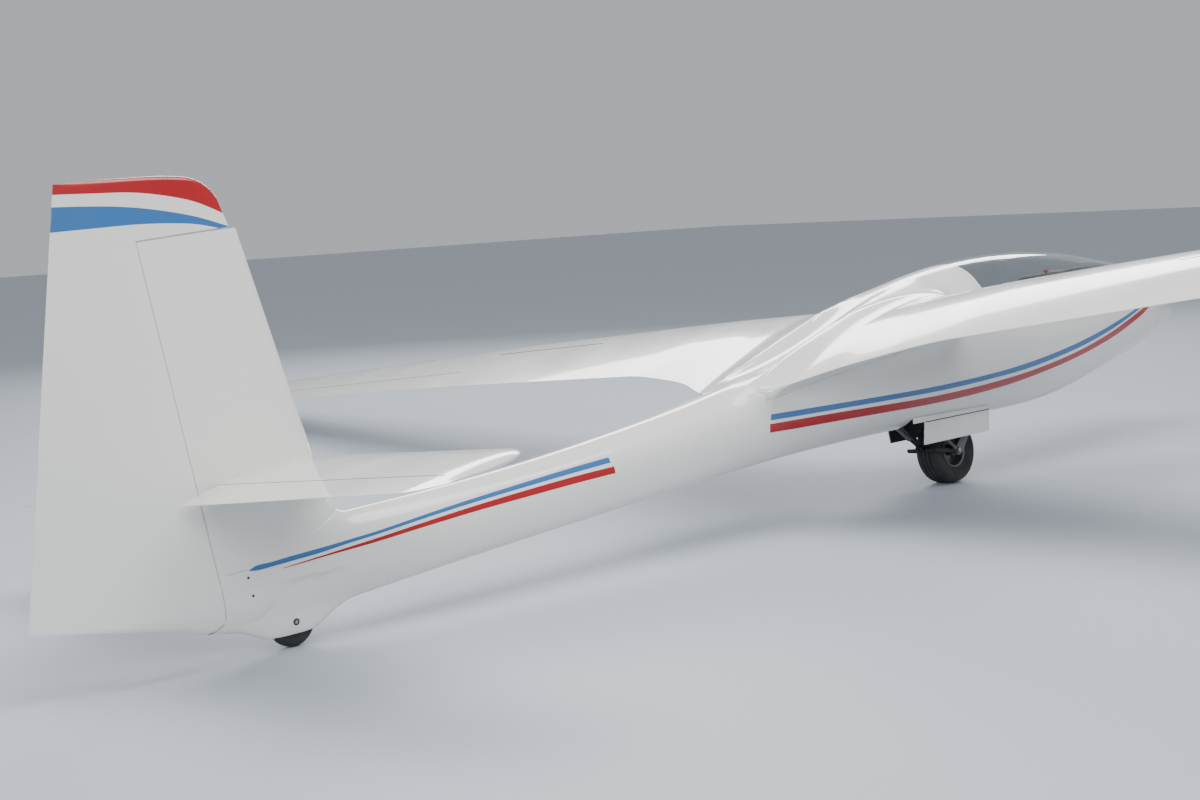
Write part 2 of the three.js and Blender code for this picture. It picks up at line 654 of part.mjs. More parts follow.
// Belly doors, which hang plumb from the edges of the bay; the left one is shorter
const DOOR = { front: 198, low: 232, y: 169, thick: 5, hangZ: 338, lean: -0.131 };
const DOOR_REAR = { left: { top: -200, low: -155 }, right: { top: -310, low: -320 } };

function makeDoor(name, side) {
  const { front, low, y, thick, hangZ, lean } = DOOR;
  const rear = DOOR_REAR[name];
  const face = [[front, 400], [front, low], [rear.low, low], [rear.top, 400]];
  const edges = [side * y, side * (y + thick)];
  const lean4 = [1, 0, 0, 0, 0, 1, 0, 0, 0, lean, 1, 0, 0, -lean * hangZ, 0, 1];
  return sidePrism(face, Math.min(...edges), Math.max(...edges)).transform(lean4)
    .subtract(fuselageLoft(front + 100, rear.low - 200, -GAP));
}

// Cockpit fittings: side outlines that reach from wall to wall, cut to the cabin's inside
function fitted(corners, halfWidth = 320, inset = WALL + GAP) {
  return sidePrism(corners, -halfWidth, halfWidth).intersect(fuselageLoft(2130, 20, inset));
}

// The seat pan's upper face rises forward under the knees
const SEAT = { rampX: 756, rampZ: 420, kneeX: 1076, kneeZ: 468 };

function makeSeat() {
  const { rampX, rampZ, kneeX, kneeZ } = SEAT;
  const pan = fitted([
    [1180, 470], [kneeX + 4, kneeZ - 16], [rampX + 4, rampZ - 16], [580, 402], [486, 440],
    [486, 456], [584, 418], [rampX, rampZ], [kneeX, kneeZ], [1176, 486],
  ]);
  const footX = 486 - GAP;
  const back = fitted([[footX - 13, 452], [158, 950], [172, 958], [footX, 461], [footX, 452]], 205);
  // The headrest lies on the upper end of the back's sloping face
  const slope = new THREE.Vector2(172 - footX, 958 - 461).normalize();
  const onBack = (up, out) => [
    172 + slope.x * up + slope.y * out, 958 + slope.y * up - slope.x * out,
  ];
  const rest = sidePrism([
    onBack(-90, GAP), onBack(-84, 40), onBack(-20, 50), onBack(20, 40), onBack(26, GAP),
  ], -75, 75);
  return { pan, back, rest };
}

// The hood over the instrument panel slopes down to the nose
const HOOD = { rearX: 1040, rearZ: 962, frontX: 1690, frontZ: 938, thick: 12 };

function makePanel() {
  const { rearX, rearZ, frontX, frontZ, thick } = HOOD;
  const under = (x) => mix(rearZ, frontZ, (x - rearX) / (frontX - rearX)) - GAP;
  const desk = sidePrism([
    [1200, under(1200)], [1186, 900], [1220, 700], [1262, 640], [1330, 640], [1340, under(1340)],
  ], -125, 125);
  const post = fitted([[1290, 340], [1290, 700], [1330, 700], [1330, 340]], 50);
  const hood = fitted([
    [rearX + 4, rearZ + thick], [rearX, rearZ], [frontX, frontZ], [frontX + 4, frontZ + thick],
  ], 215, CANOPY.frame + 10);
  return { desk: desk.add(post), hood };
}

function makeStick() {
  const { rampX, rampZ, kneeX, kneeZ } = SEAT;
  const below = sidePrism([
    [rampX, 300], [rampX, rampZ + GAP], [kneeX, kneeZ + GAP], [kneeX, 300],
  ], -60, 60);
  return joined(
    rod(point(900, 0, 424), point(890, 0, 470), 34, 16, 22).subtract(below),
    rod(point(890, 0, 460), point(850, 0, 620), 9, 12),
    rod(point(851, 0, 616), point(826, 0, 716), 15, 14, 17));
}

function makePedals() {
  const bar = rod(point(1640, -300, 590), point(1640, 300, 590), 9, 12)
    .intersect(fuselageLoft(1800, 1500, WALL + GAP));
  const plates = [-1, 1].map((side) => slab(point(1655, side * 80, 650),
    point(0.94, 0, -0.34).normalize(), point(0, 1, 0), point(0.34, 0, 0.94).normalize(),
    [12, 90, 130]));
  return joined(bar, ...plates);
}

// Closed hook for the tow rope, ahead of the wheel bay
function makeTowHook() {
  const x = 270;
  const belly = between(FUSELAGE, 'x', x).bottom;
  const body = block(x - 34, x + 34, -11, 11, belly - 26, belly + 10)
    .subtract(fuselageLoft(x + 100, x - 100, -GAP));
  return body.subtract(rod(point(x + 4, -20, belly - 16), point(x + 4, 20, belly - 16), 7, 12));
}

const COLOURS = {
  gelcoat: [0xe9e9e4, 0.28, 0.0], metal: [0xb8bbbd, 0.4, 0.8], rubber: [0x1c1c1c, 0.9, 0.0],
  clear: [0x9fb0ba, 0.06, 0.0], trim: [0x2c2d30, 0.7, 0.0], cloth: [0x6d6a66, 0.9, 0.0],
  dark: [0x3a3b3d, 0.6, 0.1],
};

const airframe = new THREE.Group();
const panel = makePanel();

function add(name, solid, finish) {
  const [color, roughness, metalness] = COLOURS[finish];
  const mesh = new THREE.Mesh(geometryOf(solid),
    new THREE.MeshStandardMaterial({ color, roughness, metalness }));
  mesh.name = name;
  airframe.add(mesh);
  return mesh;
}

const tail = makeTailParts();
const canopy = makeCanopyParts();
const gear = makeGear();
const seat = makeSeat();

add('fuselage_pod', makePod(), 'gelcoat');
add('tail_boom_and_fin', tail.rearBody, 'gelcoat');
add('rudder', tail.rudder, 'gelcoat');
add('canopy_frame', canopy.frame, 'gelcoat');
add('canopy_glass', canopy.glass, 'clear');
for (const [name, side] of [['left', 1], ['right', -1]]) {
  const parts = makeWingParts(side);
  add(`wing_${name}`, parts.wing, 'gelcoat');
  add(`aileron_${name}`, parts.surface, 'gelcoat');
  add(`airbrake_${name}`, parts.plate, 'metal');
  const plane = makeTailplaneParts(side);
  add(`stabiliser_${name}`, plane.fixed, 'gelcoat');
  add(`elevator_${name}`, plane.surface, 'gelcoat');
  add(`gear_door_${name}`, makeDoor(name, side), 'gelcoat');
  add(`gear_strut_${name}`, gear.struts[side > 0 ? 1 : 0], 'metal');
}
add('elevator_tube', makeElevatorTube(), 'metal');
add('gear_fork', gear.fork, 'metal');
add('gear_damper', gear.damper, 'metal');
add('main_axle', axle(MAIN, AXLE.main, AXLE.mainHalf), 'metal');
add('main_wheel_hub', hub(MAIN, 6), 'metal');
add('main_tyre', tyre(MAIN), 'rubber');
add('tail_axle', axle(TAIL, AXLE.tail, AXLE.tailHalf), 'metal');
add('tail_wheel_hub', hub(TAIL, 0), 'metal');
add('tail_tyre', tyre(TAIL), 'rubber');
add('seat_pan', seat.pan, 'trim');
add('seat_back', seat.back, 'trim');
add('headrest', seat.rest, 'cloth');
add('instrument_panel', panel.desk, 'dark');
add('panel_hood', panel.hood, 'trim');
add('control_stick', makeStick(), 'dark');
add('rudder_pedals', makePedals(), 'metal');
add('tow_hook', makeTowHook(), 'metal');

// Park attitude: the airframe rolls onto its left wing tip and settles on both wheels
function lowest(names, matrix) {
  const corner = new THREE.Vector3();
  let low = Infinity;
  for (const mesh of airframe.children.filter(({ name }) => names.includes(name))) {
    const place = mesh.geometry.attributes.position;
    for (let i = 0; i < place.count; i += 1) {
      low = Math.min(low, corner.fromBufferAttribute(place, i).applyMatrix4(matrix).z);
    }
  }
  return low;
}

function attitude(bank, pitch) {
  return new THREE.Matrix4().makeRotationFromEuler(new THREE.Euler(bank, pitch, 0, 'YXZ'));
}

let bank = -6 * RAD;
let pitch = 0;
for (let i = 0; i < 12; i += 1) {
  const turn = attitude(bank, pitch);
  const main = lowest(['main_tyre'], turn);
  pitch += (lowest(['tail_tyre'], turn) - main) / TAIL.x;
  bank -= (lowest(['wing_left'], turn) - main) / WING[WING.length - 1].y;
}
airframe.setRotationFromMatrix(attitude(bank, pitch));

const glider = new THREE.Group();
glider.add(airframe);
glider.updateMatrixWorld(true);
const bounds = new THREE.Box3().setFromObject(airframe, true);
const middle = bounds.getCenter(new THREE.Vector3());
airframe.position.set(-middle.x, -middle.y, -bounds.min.z);

export default glider;
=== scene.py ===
import json
import math

import bpy
import numpy as np
from mathutils import Matrix, Vector
from mathutils.bvhtree import BVHTree
from mathutils.interpolate import poly_3d_calc


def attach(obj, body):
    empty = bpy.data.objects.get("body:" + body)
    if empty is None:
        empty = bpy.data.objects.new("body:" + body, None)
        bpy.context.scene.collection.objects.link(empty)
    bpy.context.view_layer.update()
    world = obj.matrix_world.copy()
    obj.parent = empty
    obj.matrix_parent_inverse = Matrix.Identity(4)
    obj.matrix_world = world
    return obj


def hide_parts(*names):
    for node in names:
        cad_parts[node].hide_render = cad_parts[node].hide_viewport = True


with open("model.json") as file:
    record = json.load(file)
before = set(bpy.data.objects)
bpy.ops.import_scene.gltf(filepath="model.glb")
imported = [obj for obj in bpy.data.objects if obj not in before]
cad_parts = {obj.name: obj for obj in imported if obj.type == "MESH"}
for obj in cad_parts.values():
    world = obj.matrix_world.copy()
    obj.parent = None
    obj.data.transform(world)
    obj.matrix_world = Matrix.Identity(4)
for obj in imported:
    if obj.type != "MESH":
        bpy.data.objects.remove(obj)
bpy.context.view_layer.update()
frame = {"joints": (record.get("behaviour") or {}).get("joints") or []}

# The sides of the airframe, and the nodes of its hull
SIDES = ((1, "left"), (-1, "right"))
HULL = ("fuselage_pod", "tail_boom_and_fin")

# Driving sizes, as in the part
MAIN_WHEEL = {"x": 0.034, "radius": 0.162, "width": 0.134, "rim": 0.086, "hub_half": 0.054}
TAIL_WHEEL = {"x": -3.716, "radius": 0.088, "width": 0.050, "rim": 0.042, "hub_half": 0.020}
BAY = {"rear": -0.400, "front": 0.215, "half": 0.166, "top": 0.590}
WALL = 0.012
HOOK_X = 0.270
# Reach of cutters: to the sides of the fuselage, and above and below a hinge
BEYOND = 0.4
CUTTER_TALL = 0.3

# Clearances of the control surfaces: at the ends of the moving part, of its round front, and of the
# channel that the round front turns in
RUN = 0.006
NOSE_GROW = 0.0022
CHANNEL_CLEAR = 0.0050

# Fuselage: x, bottom, top, half width, height of the widest line, fullness of the oval
FUSELAGE = np.array([
    (2.236, 0.704, 0.720, 0.008, 0.712, 2.00),
    (2.222, 0.672, 0.752, 0.040, 0.713, 2.00),
    (2.150, 0.622, 0.815, 0.096, 0.715, 2.05),
    (2.000, 0.570, 0.893, 0.158, 0.718, 2.10),
    (1.800, 0.515, 0.966, 0.212, 0.722, 2.15),
    (1.430, 0.434, 1.040, 0.264, 0.712, 2.20),
    (1.130, 0.376, 1.086, 0.292, 0.700, 2.25),
    (0.800, 0.328, 1.112, 0.308, 0.690, 2.30),
    (0.450, 0.314, 1.112, 0.312, 0.684, 2.30),
    (0.100, 0.318, 1.082, 0.306, 0.678, 2.30),
    (-0.200, 0.318, 1.032, 0.292, 0.668, 2.30),
    (-0.500, 0.316, 0.952, 0.268, 0.644, 2.30),
    (-0.800, 0.312, 0.838, 0.236, 0.600, 2.25),
    (-1.100, 0.303, 0.740, 0.206, 0.545, 2.20),
    (-1.450, 0.284, 0.656, 0.178, 0.484, 2.15),
    (-2.000, 0.241, 0.566, 0.150, 0.410, 2.10),
    (-2.600, 0.196, 0.494, 0.126, 0.346, 2.10),
    (-3.250, 0.142, 0.446, 0.098, 0.292, 2.10),
    (-3.560, 0.112, 0.432, 0.078, 0.270, 2.10),
    (-3.900, 0.095, 0.424, 0.057, 0.260, 2.30),
    (-4.060, 0.112, 0.424, 0.052, 0.264, 2.50),
])
NOSE_X = FUSELAGE[0, 0]
POST_X = FUSELAGE[-1, 0]

# Fairing of the tail wheel: x, bottom; then its half width, fullness and the softness of its upper edge
KEEL = np.array([(-3.40, 0.170), (-3.47, 0.145), (-3.55, 0.096), (-3.63, 0.050), (-3.70, 0.040),
                 (-3.80, 0.041), (-3.86, 0.064), (-3.92, 0.096), (-4.00, 0.124)])
KEEL_HALF = 0.045
KEEL_FULL = 5
KEEL_SOFT = 0.035

# Wings: y, leading edge x, trailing edge x, their heights, thickness
WING = np.array([
    (0.000, -0.138, -1.430, 0.780, 0.520, 0.130),
    (0.050, -0.138, -1.428, 0.795, 0.538, 0.131),
    (0.130, -0.138, -1.400, 0.860, 0.596, 0.135),
    (0.300, -0.144, -1.325, 0.866, 0.636, 0.140),
    (0.500, -0.150, -1.225, 0.873, 0.680, 0.148),
    (0.750, -0.155, -1.160, 0.880, 0.717, 0.155),
    (1.000, -0.158, -1.117, 0.887, 0.742, 0.160),
    (2.000, -0.171, -1.045, 0.911, 0.779, 0.160),
    (2.850, -0.180, -0.984, 0.929, 0.808, 0.160),
    (7.250, -0.200, -0.674, 0.976, 0.904, 0.140),
    (7.430, -0.252, -0.668, 0.972, 0.906, 0.130),
    (7.500, -0.340, -0.668, 0.962, 0.911, 0.090),
])
CAMBER = 0.03
AILERON = {"inner": 2.855, "outer": 6.900, "hinge": 0.80}
BRAKE = {"inner": 1.750, "outer": 2.750, "at": 0.50, "thick": 0.014, "deep": 0.096, "slot": 0.026,
         "cap": 0.011, "cap_thick": 0.006}

# Vertical tail from the side: x and z of the ends of its nose, hinge and rear lines
FIN_NOSE = ((-3.485, 0.400), (-3.708, 1.450))
FIN_HINGE = ((-3.995, 0.100), (-4.116, 1.450))
FIN_REAR = ((-4.640, 0.190), (-4.343, 1.654))
FIN_THICK = 0.115
# Climb towards the nose of a line that is square to the rudder's hinge
HINGE_RISE = (FIN_HINGE[0][0] - FIN_HINGE[1][0]) / (FIN_HINGE[1][1] - FIN_HINGE[0][1])

# Lower end of the vertical tail: x, underside, height over which its sides round in
FOOT = np.array([
    (-4.640, 0.229, 0.012),
    (-4.364, 0.182, 0.020),
    (-4.200, 0.150, 0.060),
    (-4.120, 0.133, 0.110),
    (-4.060, 0.112, 0.150),
    (-3.980, 0.102, 0.160),
    (-3.900, 0.094, 0.166),
    (-3.850, 0.100, 0.160),
    (-3.750, 0.150, 0.110),
    (-3.600, 0.220, 0.050),
    (-3.400, 0.300, 0.030),
])
FOOT_FULL = 2.4
# Edge of the rudder at its foot: x, z
FOOT_GAP = np.array([(-3.900, 0.157), (-3.977, 0.157), (-3.988, 0.137), (-4.021, 0.113), (-4.051, 0.109),
                     (-4.069, 0.112), (-4.131, 0.1345)])
# The horn's lower edge: its height at the hinge, and its ends
HORN_Z = 1.450
HORN_REAR = -4.75
HORN_FRONT = -3.60

# Upper outline of the rudder and its horn: x, z
CROWN = np.array([(-4.343, 1.654), (-4.230, 1.661), (-4.089, 1.667), (-3.978, 1.669), (-3.895, 1.665),
                  (-3.851, 1.655), (-3.814, 1.634), (-3.789, 1.610), (-3.774, 1.580), (-3.764, 1.540),
                  (-3.752, 1.500), (-3.738, 1.456), (-3.730, 1.420), (-3.715, 1.340), (-3.680, 1.250)])
FIN_CROWN = np.array([(-4.40, 1.60), (-3.60, 1.60)])
CROWN_TOP = 1.669
CROWN_ROUND = 0.018

# Painted bands of the rudder: x, lower and upper edge of the blue one, lower edge of the red one
BANDS = np.array([
    (-4.460, 1.495, 1.583, 1.622),
    (-4.228, 1.502, 1.575, 1.617),
    (-4.067, 1.506, 1.560, 1.611),
    (-3.900, 1.498, 1.528, 1.581),
    (-3.770, 1.473, 1.490, 1.532),
    (-3.700, 1.450, 1.466, 1.500),
])

TAILPLANE = {"half": 1.485, "lead_root": -3.548, "lead_tip": -3.657, "z_root": 0.640,
             "chord_root": 0.592, "chord_tip": 0.414, "drop": 0.132, "thick": 0.100,
             "hinge_x": -3.955, "tube": 0.010}
# Each elevator's ends across the airframe: at the hinge, and how far they lean with x
ELEVATOR = {"inner": 0.073, "inner_lean": -0.37, "outer": 1.412, "outer_lean": 0.50}

CANOPY = {"rear": 0.130, "front": 1.800, "sill_rear": 0.842, "sill_front": 0.872, "rim": 0.024,
          "frame": 0.014, "glass": 0.004, "gap": 0.003, "hinge_y": -0.303, "hinge_z": 0.838}

# The frame's own directions, read from the joints
JOINT = {joint["name"]: joint for joint in frame["joints"]}
FORWARD = np.array(JOINT["canopy_open"]["axis"])
LEFT = np.array(JOINT["main_wheel_spin"]["axis"])
UP = np.array(JOINT["airbrake_left_lift"]["axis"])
ORIGIN = (np.array(JOINT["main_wheel_spin"]["pos_m"]) - UP * MAIN_WHEEL["radius"]
          - FORWARD * MAIN_WHEEL["x"])


def place(points):
    """Airframe points, brought into the frame."""
    points = np.asarray(points, float).reshape(-1, 3)
    return ORIGIN + points @ np.array([FORWARD, LEFT, UP])


# Curves through tables
def mix(a, b, t):
    return a + (b - a) * t


def unit(vector):
    return vector / np.linalg.norm(vector)


def eased(knots, values, at):
    """A smooth curve through values at rising knots, in which long stretches stay straight."""
    knots = np.asarray(knots, float)
    values = np.asarray(values, float)
    steps = np.diff(knots)
    slopes = np.diff(values) / steps
    weight = steps ** 3
    tangents = np.empty_like(values)
    tangents[0] = slopes[0]
    tangents[-1] = slopes[-1]
    tangents[1:-1] = (weight[:-1] * slopes[:-1] + weight[1:] * slopes[1:]) / (weight[:-1] + weight[1:])
    at = np.clip(np.asarray(at, float), knots[0], knots[-1])
    i = np.clip(np.searchsorted(knots, at) - 1, 0, len(knots) - 2)
    h = steps[i]
    t = (at - knots[i]) / h
    return ((2 * t ** 3 - 3 * t ** 2 + 1) * values[i] + (t ** 3 - 2 * t ** 2 + t) * h * tangents[i]
            + (3 * t ** 2 - 2 * t ** 3) * values[i + 1] + (t ** 3 - t ** 2) * h * tangents[i + 1])


def spline(knots, values, at):
    """The natural cubic spline through values at rising knots."""
    count = len(knots)
    h = np.diff(knots)
    system = np.eye(count)
    right = np.zeros(count)
    for i in range(1, count - 1):
        system[i, i - 1:i + 2] = h[i - 1], 2 * (h[i - 1] + h[i]), h[i]
        right[i] = 6 * ((values[i + 1] - values[i]) / h[i] - (values[i] - values[i - 1]) / h[i - 1])
    bend = np.linalg.solve(system, right)
    at = np.clip(np.asarray(at, float), knots[0], knots[-1])
    i = np.clip(np.searchsorted(knots, at) - 1, 0, count - 2)
    a = knots[i + 1] - at
    b = at - knots[i]
    return ((bend[i] * a ** 3 + bend[i + 1] * b ** 3) / (6 * h[i])
            + (values[i] / h[i] - bend[i] * h[i] / 6) * a
            + (values[i + 1] / h[i] - bend[i + 1] * h[i] / 6) * b)


def half_at(x, thick, blunt=0.0018):
    """Half the thickness of a section at a fraction of its chord."""
    return 5 * thick * (0.2969 * np.sqrt(x) - 0.126 * x - 0.3516 * x ** 2 + 0.2843 * x ** 3
                        - 0.1036 * x ** 4) + blunt * x


def section(count=44):
    """Chord fractions and sides of a closed section, from its rear edge over the top and back."""
    angle = np.linspace(0, np.pi, count + 1)
    over = (1 + np.cos(angle)) / 2
    along = np.concatenate([over, over[::-1][1:]])
    side = np.concatenate([np.ones(count + 1), -np.ones(count)])
    return along, side


# Forms: points in the airframe and faces
def loft(rings):
    """A closed skin over rings of points, with fans at its ends."""
    rings = np.asarray(rings, float)
    rows, count = rings.shape[:2]
    points = rings.reshape(-1, 3)
    i, j = np.meshgrid(np.arange(rows - 1), np.arange(count), indexing="ij")
    a = i * count + j
    b = i * count + (j + 1) % count
    faces = np.stack([a, b, b + count, a + count], -1).reshape(-1, 4).tolist()
    for first, flip in ((0, True), ((rows - 1) * count, False)):
        hub = len(points)
        points = np.vstack([points, points[first:first + count].mean(0)])
        for k in range(count):
            pair = [first + k, first + (k + 1) % count]
            faces.append([hub] + (pair[::-1] if flip else pair))
    return points, faces


def outward(form):
    """The form with its faces turned outwards, judged by its volume."""
    points, faces = form
    volume = 0.0
    for face in faces:
        for k in range(1, len(face) - 1):
            volume += np.dot(points[face[0]], np.cross(points[face[k]], points[face[k + 1]]))
    if volume < 0:
        faces = [face[::-1] for face in faces]
    return points, faces


def merged(*forms):
    """Several forms as one."""
    points = []
    faces = []
    base = 0
    for form_points, form_faces in forms:
        points.append(np.asarray(form_points))
        faces += [[k + base for k in face] for face in form_faces]
        base += len(form_points)
    return np.vstack(points), faces


def prism(outline, low, high, across="y"):
    """A flat outline made solid: [x, z] corners across the airframe, or [x, y] corners upwards."""
    outline = np.asarray(outline, float)
    count = len(outline)
    rings = np.zeros((2, count, 3))
    for row, level in enumerate((low, high)):
        rings[row, :, 0] = outline[:, 0]
        rings[row, :, 2 if across == "y" else 1] = outline[:, 1]
        rings[row, :, 1 if across == "y" else 2] = level
    points = rings.reshape(-1, 3)
    faces = [[k, (k + 1) % count, (k + 1) % count + count, k + count] for k in range(count)]
    faces += [list(range(count))[::-1], list(range(count, 2 * count))]
    return outward((points, faces))


def box(low, high):
    return prism([(low[0], low[2]), (high[0], low[2]), (high[0], high[2]), (low[0], high[2])],
                 low[1], high[1])


def rounded(corners, radius, steps=6):
    """The outline of [x, z] corners with each corner rounded; a radius may be given per corner."""
    corners = np.asarray(corners, float)
    count = len(corners)
    radii = np.broadcast_to(radius, count)
    outline = []
    for i in range(count):
        corner = corners[i]
        before = corners[i - 1] - corner
        after = corners[(i + 1) % count] - corner
        reach = min(radii[i], np.linalg.norm(before) * 0.49, np.linalg.norm(after) * 0.49)
        if reach <= 0:
            outline.append(corner)
            continue
        start = corner + unit(before) * reach
        end = corner + unit(after) * reach
        for t in np.linspace(0, 1, steps):
            outline.append((1 - t) ** 2 * start + 2 * t * (1 - t) * corner + t ** 2 * end)
    return np.array(outline)


def basis(direction):
    """Two unit directions square to one."""
    direction = unit(np.asarray(direction, float))
    helper = np.array([0, 0, 1.0]) if abs(direction[2]) < 0.9 else np.array([1.0, 0, 0])
    first = unit(np.cross(helper, direction))
    return first, np.cross(direction, first)


def turned(profile, centre, axis, segments=48):
    """A closed profile of [radius, along] corners, turned about an axis."""
    centre = np.asarray(centre, float)
    axis = unit(np.asarray(axis, float))
    first, second = basis(axis)
    profile = np.asarray(profile, float)
    count = len(profile)
    points = []
    for k in range(segments):
        angle = 2 * np.pi * k / segments
        spoke = first * np.cos(angle) + second * np.sin(angle)
        points.append(centre + profile[:, :1] * spoke + profile[:, 1:] * axis)
    points = np.vstack(points)
    faces = []
    for k in range(segments):
        near = k * count
        far = (k + 1) % segments * count
        for j in range(count):
            faces.append([near + j, near + (j + 1) % count, far + (j + 1) % count, far + j])
    return outward((points, faces))


def rod(start, end, radius, sides=24, end_radius=None):
    """A solid round bar."""
    start = np.asarray(start, float)
    end = np.asarray(end, float)
    first, second = basis(end - start)
    angle = np.linspace(0, 2 * np.pi, sides, endpoint=False)[:, None]
    ring = first * np.cos(angle) + second * np.sin(angle)
    last = radius if end_radius is None else end_radius
    return outward(loft([start + ring * radius, end + ring * last]))


def tube(path, radius, sides=12):
    """A round bar along a path."""
    path = np.asarray(path, float)
    along = np.gradient(path, axis=0)
    along /= np.linalg.norm(along, axis=1)[:, None]
    first, _ = basis(along[0])
    angle = np.linspace(0, 2 * np.pi, sides, endpoint=False)[:, None]
    rings = []
    for spot, direction in zip(path, along):
        first = unit(first - direction * np.dot(first, direction))
        second = np.cross(direction, first)
        rings.append(spot + (first * np.cos(angle) + second * np.sin(angle)) * radius)
    return outward(loft(rings))


def bent(corners, steps=24):
    """A smooth path through a few points."""
    corners = np.asarray(corners, float)
    reach = np.concatenate([[0], np.cumsum(np.linalg.norm(np.diff(corners, axis=0), axis=1))])
    at = np.linspace(0, reach[-1], steps)
    return np.stack([eased(reach, corners[:, k], at) for k in range(3)], 1)


def tree_of(form):
    """A form, ready for the search of nearest places and for rays."""
    return BVHTree.FromPolygons([Vector(p) for p in form[0]], form[1])


# Objects. What is inside a cutter is lost or kept. A guide gives its normals to faces within a
# reach that look almost the same way.
LOST = "DIFFERENCE"
KEPT = "INTERSECT"
GUIDE_REACH = 0.0024
GUIDE_ALIKE = 0.93


def as_object(name, form, *materials):
    """A form as an object in the frame, with its materials."""
    points, faces = form
    mesh = bpy.data.meshes.new(name)
    mesh.from_pydata(place(points).tolist(), [], faces)
    mesh.validate()
    for material in materials:
        mesh.materials.append(material)
    thing = bpy.data.objects.new(name, mesh)
    bpy.context.scene.collection.objects.link(thing)
    return thing


def shade(thing, angle=35):
    """Smooth faces, with an edge wherever the surface turns by more than the angle."""
    thing.data.shade_smooth()
    thing.data.set_sharp_from_angle(angle=math.radians(angle))


def settle(thing):
    """Applies the modifiers."""
    graph = bpy.context.evaluated_depsgraph_get()
    mesh = bpy.data.meshes.new_from_object(thing.evaluated_get(graph))
    mesh.name = thing.name
    thing.modifiers.clear()
    thing.data = mesh


def soften(thing, width, angle=30):
    """Rounds the edges at which the surface turns by more than the angle."""
    modifier = thing.modifiers.new("soften", "BEVEL")
    modifier.width = width
    modifier.segments = 2
    modifier.limit_method = "ANGLE"
    modifier.angle_limit = math.radians(angle)
    settle(thing)


def carve(thing, form, material, keep=LOST):
    """Cuts a form out of an object, or keeps what is inside it; the new faces get the material."""
    cutter = form if isinstance(form, bpy.types.Object) else as_object("cutter", form)
    cutter.data.materials.clear()
    cutter.data.materials.append(material)
    modifier = thing.modifiers.new("cut", "BOOLEAN")
    modifier.operation = keep
    modifier.solver = "EXACT"
    modifier.material_mode = "TRANSFER"
    modifier.object = cutter
    settle(thing)
    bpy.data.objects.remove(cutter)


def smooth_like(thing, *guides):
    """Gives an object the normals of the guides wherever it lies on them."""
    shade(thing, 30)
    mesh = thing.data
    corner_normals = np.zeros(len(mesh.loops) * 3)
    mesh.corner_normals.foreach_get("vector", corner_normals)
    corner_normals = corner_normals.reshape(-1, 3)
    surfaces = []
    for points, faces in guides:
        points = place(points)
        surfaces.append((tree_of((points, faces)), [Vector(p) for p in points],
                         vertex_normals((points, faces)), faces))
    known = [{} for _ in surfaces]
    for face in mesh.polygons:
        for number, (tree, points, normals, faces) in enumerate(surfaces):
            spot, normal, _, _ = tree.find_nearest(face.center, GUIDE_REACH)
            if spot is None or abs(normal.dot(face.normal)) < GUIDE_ALIKE:
                continue
            sign = 1 if normal.dot(face.normal) > 0 else -1
            for loop in face.loop_indices:
                vertex = mesh.loops[loop].vertex_index
                if vertex not in known[number]:
                    spot, _, index, _ = tree.find_nearest(mesh.vertices[vertex].co)
                    ring = faces[index]
                    weights = poly_3d_calc([points[k] for k in ring], spot)
                    blend = sum(w * normals[k] for w, k in zip(weights, ring))
                    known[number][vertex] = blend / max(np.linalg.norm(blend), 1e-9)
                corner_normals[loop] = known[number][vertex] * sign
            break
    mesh.normals_split_custom_set([tuple(n) for n in corner_normals])


def skin_piece(name, skin, material, cuts, body, stands_for):
    """A painted piece with a smooth skin; each cut is a form, and whether its inside is kept or lost."""
    thing = as_object(name, skin, material)
    for form, keep in cuts:
        carve(thing, form, material, keep)
    smooth_like(thing, skin)
    return finish_piece(thing, body, stands_for)


def finish_piece(thing, body="airframe", stands_for=()):
    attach(thing, body)
    if stands_for:
        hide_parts(*stands_for)
    return thing


def piece(name, form, material, body="airframe", stands_for=(), bevel=0.0, angle=35):
    """A finished object made from a form, with its edges softened if a bevel is given."""
    thing = as_object(name, form, material)
    if bevel:
        soften(thing, bevel, angle)
        shade(thing, 55)
    else:
        shade(thing, angle)
    return finish_piece(thing, body, stands_for)


def metal(name, form, material, part, bevel=0.0, angle=35):
    """A metal piece of the airframe that stands for one node of the part."""
    return piece(name, form, material, "airframe", (part,), bevel, angle)


# Materials
def shader_of(material):
    return material.node_tree.nodes["Principled BSDF"]


def new_material(name, colour, roughness, metallic=0.0, coat=0.0):
    material = bpy.data.materials.new(name)
    material.use_nodes = True
    shader = shader_of(material)
    shader.inputs["Base Color"].default_value = (*colour, 1)
    shader.inputs["Roughness"].default_value = roughness
    shader.inputs["Metallic"].default_value = metallic
    shader.inputs["Coat Weight"].default_value = coat
    shader.inputs["Coat Roughness"].default_value = 0.04
    material.diffuse_color = (*colour, 1)
    return material


def tinted(colour, share):
    return tuple(share * c for c in colour)


def spread(tree, value, start, end, low, high):
    """Brings a grey value from one range to another."""
    node = tree.nodes.new("ShaderNodeMapRange")
    for name, limit in (("From Min", start), ("From Max", end), ("To Min", low), ("To Max", high)):
        node.inputs[name].default_value = limit
    tree.links.new(value, node.inputs["Value"])
    return node.outputs["Result"]


def relief(material, height, depth, strength=1.0):
    """Bumps the surface of a material."""
    tree = material.node_tree
    bump = tree.nodes.new("ShaderNodeBump")
    bump.inputs["Distance"].default_value = depth
    bump.inputs["Strength"].default_value = strength
    tree.links.new(height, bump.inputs["Height"])
    tree.links.new(bump.outputs["Normal"], shader_of(material).inputs["Normal"])
    return material


